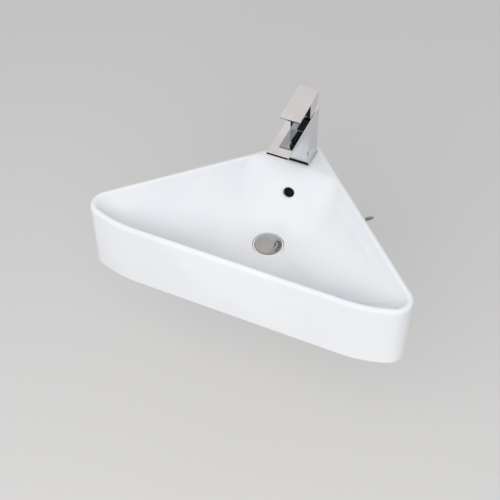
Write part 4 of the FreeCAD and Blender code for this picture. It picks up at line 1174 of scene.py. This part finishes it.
@dataclass
class Tap:
    """The square column and spout on its plinth, with the lever on top."""

    # column and spout
    width: float = 45.0
    back: float = 42.0
    front: float = 90.0
    height: float = 123.5
    slope: float = 2.967
    reach: float = 206.0
    tip: float = 3.4
    tip_lean: float = 2.0
    spout_root: float = 98.0
    edge: float = 0.8
    # seal and plinth under them
    seal_height: float = 1.5
    seal_overhang: float = 0.3
    plinth_height: float = 6.0
    plinth_lip: float = 1.2
    plinth_overhang: float = 2.4
    plinth_top_overhang: float = -0.4
    plinth_bore: float = 16.0
    groove: float = 1.0
    # cartridge's chamber and the ring that trims it
    axis_place: float = 66.0
    chamber_radius: float = 17.5
    chamber_depth: float = 38.0
    trim_radius: float = 20.1
    trim_bore: float = 12.4
    trim_height: float = 2.3
    trim_sink: float = 0.2
    trim_clearance: float = 0.15
    # aerator
    aerator_place: float = 180.0
    aerator_radius: float = 9.2
    aerator_wall: float = 2.2
    aerator_height: float = 7.2
    aerator_seal: float = 0.8
    aerator_clearance: float = 0.1
    spout_skin: float = 2.6
    # inlets, stud and its nut
    inlet_radius: float = 4.5
    inlet_spread: float = 7.0
    inlet_forward: float = 3.0
    inlet_length: float = 15.0
    stud_radius: float = 3.95
    stud_rearward: float = 12.0
    stud_in_body: float = 14.0
    stud_drop: float = 46.0
    stud_pitch: float = 1.25
    stud_thread: float = 0.6
    stud_clearance: float = 0.05
    clamp_low: float = -19.0
    clamp_nut_flats: float = 13.0
    clamp_nut_height: float = 12.0
    # lever, with the bores for its spindle and screw
    lever_width: float = 43.5
    lever_back: float = 47.0
    lever_foot_back: float = 57.6
    lever_hub_front: float = 89.0
    lever_reach: float = 147.0
    lever_height: float = 166.0
    lever_slope: float = 4.0
    blade: float = 3.3
    lever_gap: float = 3.0
    spindle: float = 8.2
    spindle_top: float = 22.1
    screw_height: float = 13.0
    screw_radius: float = 2.55

    def top_at(self, distance: float) -> float:
        """Give the height of the column's and the spout's top, by the distance from the corner."""
        return self.height - (distance - self.back) * math.tan(math.radians(self.slope))

    @property
    def foot(self) -> float:
        """Give the height of the column's foot, over its shadow groove."""
        return self.seal_height + self.plinth_height + self.groove

    @property
    def axis(self) -> Matrix:
        """Give the place and tilt of the cartridge's axis, on the column's top."""
        return (on_middle(self.axis_place, self.top_at(self.axis_place))
                @ Matrix.Rotation(math.radians(self.slope), 4, "X"))

    @property
    def aerator_seat(self) -> float:
        """Give the height of the aerator's seat, under the spout's thin end."""
        return self.top_at(self.aerator_place + self.aerator_radius) - self.spout_skin

    def column(self) -> None:
        """Build the column and spout with its bores."""
        tip_from = self.reach - self.tip_lean
        mesh = slab([(-self.back, self.foot), (-self.back, self.height),
                     (-tip_from, self.top_at(tip_from)),
                     (-self.reach, self.top_at(self.reach) - self.tip),
                     (-self.front, self.spout_root), (-self.front, self.foot)], self.width / 2)
        round_off(mesh, self.edge, lambda edge: edge.calc_face_angle(0) > SHARP_TURN
                  and max(vertex.co.z for vertex in edge.verts) > self.foot + self.edge)
        column = as_object("tap_column", mesh, CHROME)
        bottom = self.foot - self.groove
        neck = box_plan(self.width / 2 - self.groove, self.groove - self.front, -self.back - self.groove)
        combine(column, [as_object("neck", plate(neck, bottom, self.foot + self.groove), CHROME)], "UNION")
        trim = self.trim_radius + self.trim_clearance
        trim_low = -self.trim_height - self.trim_sink
        chamber = lathe([
            (0, -self.chamber_depth), (self.chamber_radius, -self.chamber_depth),
            (self.chamber_radius, trim_low), (trim, trim_low), (trim, CLEAR), (0, CLEAR)])
        seat = self.aerator_seat
        outlet = cylinder(self.aerator_radius, seat - THROUGH, seat)
        cutters = [moved(chamber, self.axis), moved(outlet, on_middle(self.aerator_place))]
        inlet = self.axis_place + self.inlet_forward
        bores = [(0, self.axis_place - self.stud_rearward, self.stud_radius + self.stud_clearance,
                  self.stud_in_body),
                 (self.inlet_spread, inlet, self.inlet_radius, self.inlet_length),
                 (-self.inlet_spread, inlet, self.inlet_radius, self.inlet_length)]
        for across, distance, radius, length in bores:
            bore = cylinder(radius, bottom - CLEAR, bottom + length, 40)
            cutters.append(moved(bore, Matrix.Translation((across, -distance, 0))))
        cut(column, BRASS, *cutters)
        deliver(column, Body.ROOT, Slot.CHROME, "tap_body")

    def plan(self, overhang: float) -> list[Corner]:
        """Give the column's plan, grown by an overhang all round."""
        half = self.width / 2 + overhang
        return [(*corner, self.edge)
                for corner in box_plan(half, -self.front - overhang, overhang - self.back)]

    def underlay(self, name: str, node: str, levels: Sequence[tuple[float, float]],
                 rounding: float, finish: Finish, slot: Slot) -> None:
        """Build a plate under the column, with the hole for the supplies.

        Args:
            name: name of the piece.
            node: the node that it stands for.
            levels: how far it stands out past the column at each of its heights, and the height.
            rounding: rounding of its edges.
            finish: its finish.
            slot: its slot.
        """
        mesh = tiers([(self.plan(overhang), height) for overhang, height in levels], rounding)
        piece = as_object(name, mesh, finish)
        bore = cylinder(self.plinth_bore, levels[0][1] - CLEAR, levels[-1][1] + CLEAR)
        cut(piece, finish, moved(bore, on_middle(self.axis_place)))
        deliver(piece, Body.ROOT, slot, node)

    def handle(self) -> None:
        """Build the lever: a tapered square hub and a thin flat blade."""
        def blade_top(distance: float) -> float:
            """Give the height of the blade's top, by the distance from the corner."""
            return self.lever_height - (distance - self.lever_back) * math.tan(
                math.radians(self.lever_slope))

        lift = self.lever_gap / math.cos(math.radians(self.slope))
        mesh = slab([
            (-self.lever_back, self.lever_height), (-self.lever_reach, blade_top(self.lever_reach)),
            (-self.lever_reach, blade_top(self.lever_reach) - self.blade),
            (-self.lever_hub_front, blade_top(self.lever_hub_front) - self.blade),
            (-self.lever_hub_front, self.top_at(self.lever_hub_front) + lift),
            (-self.lever_foot_back, self.top_at(self.lever_foot_back) + lift)],
            self.lever_width / 2, rounding=self.edge)
        lever = as_object("tap_lever", mesh, CHROME)
        half = self.spindle / 2
        socket = moved(plate(box_plan(half, -half, half), 0, self.spindle_top), self.axis)
        screw = moved(cylinder(self.screw_radius, 0, THROUGH, 32),
                      self.axis @ on_middle(0, self.screw_height) @ Matrix.Rotation(-math.pi / 2, 4, "X"))
        cut(lever, BRASS, socket, screw)
        deliver(lever, Body.LEVER, Slot.CHROME, "lever")

    def trim(self) -> None:
        """Build the ring that covers the cartridge's nut."""
        low, high = -self.trim_height - self.trim_sink, -self.trim_sink
        mesh = moved(lathe([(self.trim_bore, low), (self.trim_radius, low),
                            (self.trim_radius, high, 0.5), (self.trim_bore, high, 0.5)]), self.axis)
        deliver(as_object("tap_trim", mesh, CHROME), Body.ROOT, Slot.CHROME, "trim_ring")

    def aerator(self) -> None:
        """Build the aerator's ring with its rounded lower edges."""
        high = self.aerator_seat - self.aerator_seal
        low = high - self.aerator_height
        outer = self.aerator_radius - self.aerator_clearance
        inner = outer - self.aerator_wall
        mesh = lathe([(inner, low, 0.4), (outer, low, 0.5), (outer, high), (inner, high)])
        moved(mesh, on_middle(self.aerator_place))
        deliver(as_object("aerator_ring", mesh, CHROME), Body.ROOT, Slot.CHROME, "aerator_housing")

    def fastening(self) -> None:
        """Build the threaded stud and its nut under the deck."""
        place = on_middle(self.axis_place - self.stud_rearward)
        high = self.foot - self.groove + self.stud_in_body
        root = self.stud_radius - self.stud_thread
        stud = lathe([(0, -self.stud_drop), (root, -self.stud_drop, 0.3), (root, high, 0.3), (0, high)],
                     sides=48)
        join(stud, thread(root, self.stud_radius, self.stud_pitch, -self.stud_drop + 0.5, high - 0.5))
        deliver(as_object("clamp_stud", moved(stud, place), STEEL), Body.ROOT, Slot.STEEL, "tap_stud")
        low = self.clamp_low - self.clamp_nut_height
        nut = plate(hexagon(self.clamp_nut_flats), low, self.clamp_low, 0.7)
        nut = as_object("clamp_nut", moved(nut, place), BRASS)
        cut(nut, BRASS, moved(cylinder(self.stud_radius, low - CLEAR, self.clamp_low + CLEAR, 48), place))
        deliver(nut, Body.ROOT, Slot.BRASS, "tap_clamp_nut")

    def build(self) -> None:
        """Build the tap's pieces."""
        self.column()
        high = self.seal_height + self.plinth_height
        lip = self.seal_height + self.plinth_lip
        self.underlay("tap_plinth", "tap_base_plate", (
            (self.plinth_overhang, self.seal_height), (self.plinth_overhang, lip),
            (self.plinth_top_overhang, high)), 0.3, CHROME, Slot.CHROME)
        self.underlay("tap_seal", "tap_base_seal", (
            (self.seal_overhang, 0), (self.seal_overhang, self.seal_height)), 0.2, RUBBER, Slot.RUBBER)
        self.handle()
        self.trim()
        self.aerator()
        self.fastening()


# ---------------------------------------------------------------- waste

@dataclass
class Waste:
    """The pop-up waste: flange and threaded tail, cap, and back nut."""

    place: float = 241.0
    # flange and tail, with slots, crossbar and a relief of top, foot and depth
    flange_radius: float = 32.0
    flange_top: float = -101.6
    flange_edge: float = 1.6
    flange_slope: float = 1.1
    seat_fall: float = 0.6
    cone_skin: float = 1.8
    tail_radius: float = 20.95
    tail_bore: float = 17.6
    tail_end: float = -190.0
    thread_top: float = -141.0
    thread_depth: float = 1.1
    thread_pitch: float = 2.31
    neck_taper: float = 1.6
    slot_width: float = 9.0
    slot_top: float = -113.0
    slot_height: float = 15.0
    crossbar_width: float = 7.0
    crossbar_top: float = -140.0
    crossbar_height: float = 6.0
    crossbar_hub: float = 8.0
    crossbar_bore: float = 4.05
    relief: tuple[float, float, float] = (-156.5, -158.0, 0.5)
    # cap with its pressed ring, and its boss
    cap_radius: float = 27.6
    cap_edge: float = 1.6
    cap_step: float = 0.4
    cap_crown: float = 2.5
    cap_gap: float = 0.8
    cap_seat: float = 0.1
    cap_ring: float = 18.0
    cap_ring_half: float = 0.6
    cap_ring_depths: tuple[float, float] = (0.25, 0.45)
    cap_boss: float = 6.0
    cap_boss_height: float = 5.0
    stem_radius: float = 3.0
    # back nut
    nut_flats: float = 58.0
    nut_low: float = -153.5
    nut_high: float = -143.5
    nut_mouth: float = 1.2

    @property
    def centre(self) -> Matrix:
        """Give the waste's axis."""
        return on_middle(self.place)

    def tail(self) -> None:
        """Build the flange and its threaded tail, with slots and a crossbar."""
        lip = self.cap_radius + self.cap_gap
        under_edge = self.flange_top - self.flange_edge
        neck = self.tail_radius + self.flange_edge
        neck_low = under_edge - (self.flange_radius - neck) * self.seat_fall
        cone_top = under_edge - (self.flange_radius - lip) * self.seat_fall + self.cone_skin
        cone_low = cone_top - (lip - self.tail_bore) * self.seat_fall
        root = self.tail_radius - self.thread_depth
        groove_top, groove_low, groove_depth = self.relief
        groove = self.tail_radius - groove_depth * 3
        mesh = lathe([
            (lip, self.flange_top, 0.4), (self.flange_radius, self.flange_top - self.flange_slope, 0.3),
            (self.flange_radius, under_edge), (neck, neck_low),
            (self.tail_radius, neck_low - self.neck_taper), (self.tail_radius, self.thread_top + 1),
            (root, self.thread_top), (root, groove_top), (groove, groove_top), (groove, groove_low),
            (root, groove_low), (root, self.tail_end, 0.6), (self.tail_bore, self.tail_end, 0.6),
            (self.tail_bore, cone_low), (lip, cone_top)], sides=128)
        for high, low in ((self.thread_top, groove_top), (groove_low, self.tail_end)):
            join(mesh, thread(root, self.tail_radius, self.thread_pitch, low + 0.4, high - 0.2))
        tail = as_object("waste_tail", mesh, FLANGE_CHROME)
        reach = self.tail_radius * 2
        slots = [moved(plate(box_plan(self.slot_width / 2, -reach, reach),
                             self.slot_top - self.slot_height, self.slot_top),
                       Matrix.Rotation(turn, 4, "Z")) for turn in (0.0, math.pi / 2)]
        cut(tail, BRASS, *slots)
        low, high = self.crossbar_top - self.crossbar_height, self.crossbar_top
        half = self.crossbar_width / 2
        bar = plate(box_plan((self.tail_bore + self.tail_radius) / 2, -half, half), low, high, 0.5)
        bar = as_object("bar", bar, BRASS)
        hub = lathe([(0, low), (self.crossbar_hub, low, 0.5), (self.crossbar_hub, high, 0.5), (0, high)],
                    sides=48)
        combine(bar, [as_object("hub", hub, BRASS)], "UNION")
        cut(bar, BRASS, cylinder(self.crossbar_bore, low - CLEAR, high + CLEAR, 48))
        combine(tail, [bar], "UNION")
        tail.data.transform(self.centre)
        deliver(tail, Body.ROOT, Slot.CHROME, "waste_body")

    def cap_piece(self) -> None:
        """Build the low domed cap with its pressed ring."""
        under = self.flange_top + self.cap_seat - self.cap_edge
        edge = self.flange_top + self.cap_step
        rise = self.cap_crown - self.cap_step
        sphere = (self.cap_radius ** 2 + rise ** 2) / (2 * rise)

        def crown(radius: float) -> float:
            """Give the height of the dome at a radius."""
            return edge + rise - sphere + math.sqrt(sphere ** 2 - radius ** 2)

        ring, half = self.cap_ring, self.cap_ring_half
        shallow, deep = (crown(ring) - depth for depth in self.cap_ring_depths)
        dome = [(radius, crown(radius)) for radius in (*range(26, 19, -2), ring + 2 * half)]
        pressed = [(ring + half, shallow), (ring, deep), (ring - half, shallow)]
        middle = [(radius, crown(radius)) for radius in (ring - 2 * half, *range(15, -1, -3))]
        boss_low = under - self.cap_boss_height
        mesh = lathe([
            (0, under), (self.stem_radius, under), (self.stem_radius, boss_low),
            (self.cap_boss, boss_low, 0.4), (self.cap_boss, under, 0.4), (self.cap_radius, under, 0.3),
            (self.cap_radius, edge, 0.4), *dome, *pressed, *middle], sides=128)
        deliver(as_object("waste_plate", moved(mesh, self.centre), WASTE_CHROME), Body.PLUG, Slot.CHROME,
                "waste_cap", sharp=40)

    def back_nut(self) -> None:
        """Build the moulded back nut with its chamfered corners."""
        nut = as_object("back_nut", plate(hexagon(self.nut_flats), self.nut_low, self.nut_high, 1.4),
                        WHITE_MOULDING)
        low, high = self.nut_low - CLEAR, self.nut_high + CLEAR
        mouth = self.tail_radius + self.nut_mouth
        cut(nut, WHITE_MOULDING, lathe([
            (0, low), (mouth, low), (mouth, self.nut_low),
            (self.tail_radius, self.nut_low + self.nut_mouth), (self.tail_radius, high), (0, high)],
            sides=128))
        nut.data.transform(self.centre)
        deliver(nut, Body.ROOT, Slot.WHITE_PLASTIC, "waste_backnut")

    def build(self) -> None:
        """Build the waste's pieces."""
        self.tail()
        self.cap_piece()
        self.back_nut()


# ---------------------------------------------------------------- wall fixings

@dataclass
class Fixings:
    """The hanger bolts, nuts and washers in the skirt's rear walls."""

    place: float = 190.0
    drop: float = 85.0
    nut_flats: float = 17.0
    bolt_radius: float = 4.95
    bolt_wall_radius: float = 4.5
    bolt_low: float = -29.0
    bolt_thread_end: float = -1.0
    bolt_shoulder: float = 2.0
    bolt_high: float = 60.0
    nut_low: float = -25.0
    nut_high: float = -17.0
    washer_radius: float = 12.0
    washer_high: float = -15.0
    washer_clearance: float = 0.15
    pitch: float = 1.5
    thread_depth: float = 0.8
    wall_pitch: float = 3.0
    wall_thread_depth: float = 1.1

    def bolt(self) -> Mesh:
        """Build one hanger bolt: a machine thread, a shoulder and a coarse wall thread.

        Returns:
            The mesh.
        """
        root = self.bolt_radius - self.thread_depth
        wall_root = self.bolt_wall_radius - self.wall_thread_depth
        tip = self.bolt_high - self.bolt_wall_radius
        mesh = lathe([
            (0, self.bolt_low), (root, self.bolt_low, 0.4), (root, self.bolt_thread_end - 1),
            (self.bolt_radius, self.bolt_thread_end), (self.bolt_radius, self.bolt_shoulder),
            (wall_root, self.bolt_shoulder + 1),
            (wall_root, tip), (0, self.bolt_high)], sides=40)
        join(mesh, thread(root, self.bolt_radius, self.pitch, self.bolt_low + 0.4,
                          self.bolt_thread_end))
        return join(mesh, thread(wall_root, self.bolt_wall_radius, self.wall_pitch,
                                 self.bolt_shoulder + 1, tip))

    def both(self, name: str, make: Callable[[], Mesh], node: str) -> None:
        """Build a piece on both fixings.

        Args:
            name: name of the piece.
            make: builds it on its own axis.
            node: the node that it stands for.
        """
        right, left = wall_axes(self.place, self.drop)
        mesh = join(moved(make(), right), moved(make(), left))
        deliver(as_object(name, mesh, STEEL), Body.ROOT, Slot.STEEL, node)

    def nut(self) -> Mesh:
        """Build one hexagon nut with its bore.

        Returns:
            The mesh.
        """
        nut = as_object("nut", plate(hexagon(self.nut_flats), self.nut_low, self.nut_high, 0.8), STEEL)
        cut(nut, STEEL, cylinder(self.bolt_radius, self.nut_low - CLEAR, self.nut_high + CLEAR, 40))
        mesh = bmesh.new()
        mesh.from_mesh(nut.data)
        discard(nut)
        return mesh

    def washer(self) -> Mesh:
        """Build one washer with pressed edges.

        Returns:
            The mesh.
        """
        bore = self.bolt_radius + self.washer_clearance
        return lathe([(bore, self.nut_high, 0.2), (self.washer_radius, self.nut_high, 0.5),
                      (self.washer_radius, self.washer_high), (bore, self.washer_high)], sides=64)

    def build(self) -> None:
        """Build the fixings that a spanner meets."""
        self.both("wall_bolts", self.bolt, "hanger_bolts")
        self.both("wall_nuts", self.nut, "fixing_nuts")
        self.both("wall_washers", self.washer, "fixing_washers")


# ---------------------------------------------------------------- carried-over pieces

@dataclass
class Inside:
    """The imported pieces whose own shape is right, with the finish that each gets."""

    finishes: tuple[tuple[Finish, tuple[str, ...]], ...] = (
        (STEEL, ("tap_clamp_plate", "spindle_pin", "lever_screw", "click_spring")),
        (WHITE_MOULDING, ("wall_bushes", "waste_slip_washer")),
        (RUBBER, ("waste_cap_seal", "waste_top_gasket", "waste_lower_gasket", "cartridge_seals",
                  "aerator_seal", "tap_clamp_rubber")),
        (BRASS, ("waste_stem", "click_cartridge", "cartridge_nut", "cartridge_spindle")),
        (GREY_MOULDING, ("cartridge_housing", "cartridge_rotor", "aerator_insert", "lever_plug")),
        (DISC_CERAMIC, ("fixed_disc", "moving_disc")))

    def build(self) -> None:
        """Give each of these pieces its finish."""
        for finish, names in self.finishes:
            for name in names:
                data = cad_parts[name].data
                data.materials.clear()
                data.materials.append(finish.material())
                LOG.info("%s: finish %s", name, finish.name)


# ---------------------------------------------------------------- studio

@dataclass
class Studio:
    """A pale floor, soft light and the camera, in metres."""

    lens: float = 74.4
    eye: tuple[float, float, float] = (0.5635, -1.5756, 1.458)
    looks: tuple[float, float, float] = (-0.279, 0.616, -0.736)
    floor_height: float = -0.805
    floor_half: float = 12.0
    lamp_place: tuple[float, float, float] = (0.42, -2.46, 1.95)
    lamp_aim: tuple[float, float, float] = (0.0, -0.22, 0.0)
    lamp_size: float = 2.4
    lamp_power: float = 59.5
    sky: float = 0.71
    sky_colour: Colour = srgb(236, 238, 242)
    mirrored_bright: Colour = srgb(238, 231, 227)
    mirrored_dark: Colour = srgb(44, 42, 40)

    @staticmethod
    def facing(place: Sequence[float], way: Vector) -> Matrix:
        """Stand something at a place so that it looks along a direction."""
        return Matrix.Translation(place) @ way.to_track_quat("-Z", "Y").to_matrix().to_4x4()

    def camera(self) -> None:
        """Stand the camera where the photograph was taken."""
        data = bpy.data.cameras.new("camera")
        data.lens = self.lens
        data.clip_start = 0.05
        camera = linked("camera", data)
        camera.matrix_world = self.facing(self.eye, Vector(self.looks))
        bpy.context.scene.camera = camera

    def floor(self) -> None:
        """Lay the floor."""
        mesh = bmesh.new()
        bmesh.ops.create_grid(mesh, x_segments=4, y_segments=4, size=self.floor_half,
                              matrix=Matrix.Translation((0, 0, self.floor_height)))
        data = bpy.data.meshes.new("floor")
        mesh.to_mesh(data)
        mesh.free()
        data.materials.append(FLOOR_PAINT.material())
        floor = linked("floor", data)

    def light(self) -> None:
        """Hang the lamp and set the sky: plain for matt faces, dark in front for bright ones."""
        data = bpy.data.lights.new("key_lamp", "AREA")
        data.shape = "DISK"
        data.size = self.lamp_size
        data.energy = self.lamp_power
        lamp = linked("key_lamp", data)
        lamp.visible_glossy = False
        lamp.matrix_world = self.facing(self.lamp_place, Vector(self.lamp_aim) - Vector(self.lamp_place))
        world = bpy.data.worlds.new("sky")
        bpy.context.scene.world = world
        graph = Graph(world)
        way = graph.add("ShaderNodeTexCoord", output="Generated")
        up = graph.add("ShaderNodeSeparateXYZ", sockets={0: way}, output="Z")
        back = graph.add("ShaderNodeSeparateXYZ", sockets={0: way}, output="Y")
        rays = graph.add("ShaderNodeLightPath", output="Is Glossy Ray")
        share = (back + up * 0.5).clamped(-0.3, 0.5)
        mirrored = graph.blend(share, self.mirrored_dark, self.mirrored_bright)
        plain = graph.add("ShaderNodeBackground", sockets={"Color": self.sky_colour, "Strength": self.sky})
        shown = graph.add("ShaderNodeBackground", sockets={"Color": mirrored})
        sky = graph.add("ShaderNodeMixShader", sockets={0: rays, 1: plain, 2: shown})
        graph.add("ShaderNodeOutputWorld", sockets={"Surface": sky})

    def build(self) -> None:
        """Set up the camera, the floor and the light."""
        self.camera()
        self.floor()
        self.light()
        bpy.context.scene.view_settings.view_transform = "Standard"


def main() -> None:
    """Build each sub-assembly in order."""
    logging.basicConfig(level=logging.INFO, format="%(name)s %(message)s")
    for assembly in (Studio(), Basin(), Tap(), Waste(), Fixings(), Inside()):
        LOG.info("building %s", type(assembly).__name__)
        assembly.build()


if __name__ == "__main__":
    main()
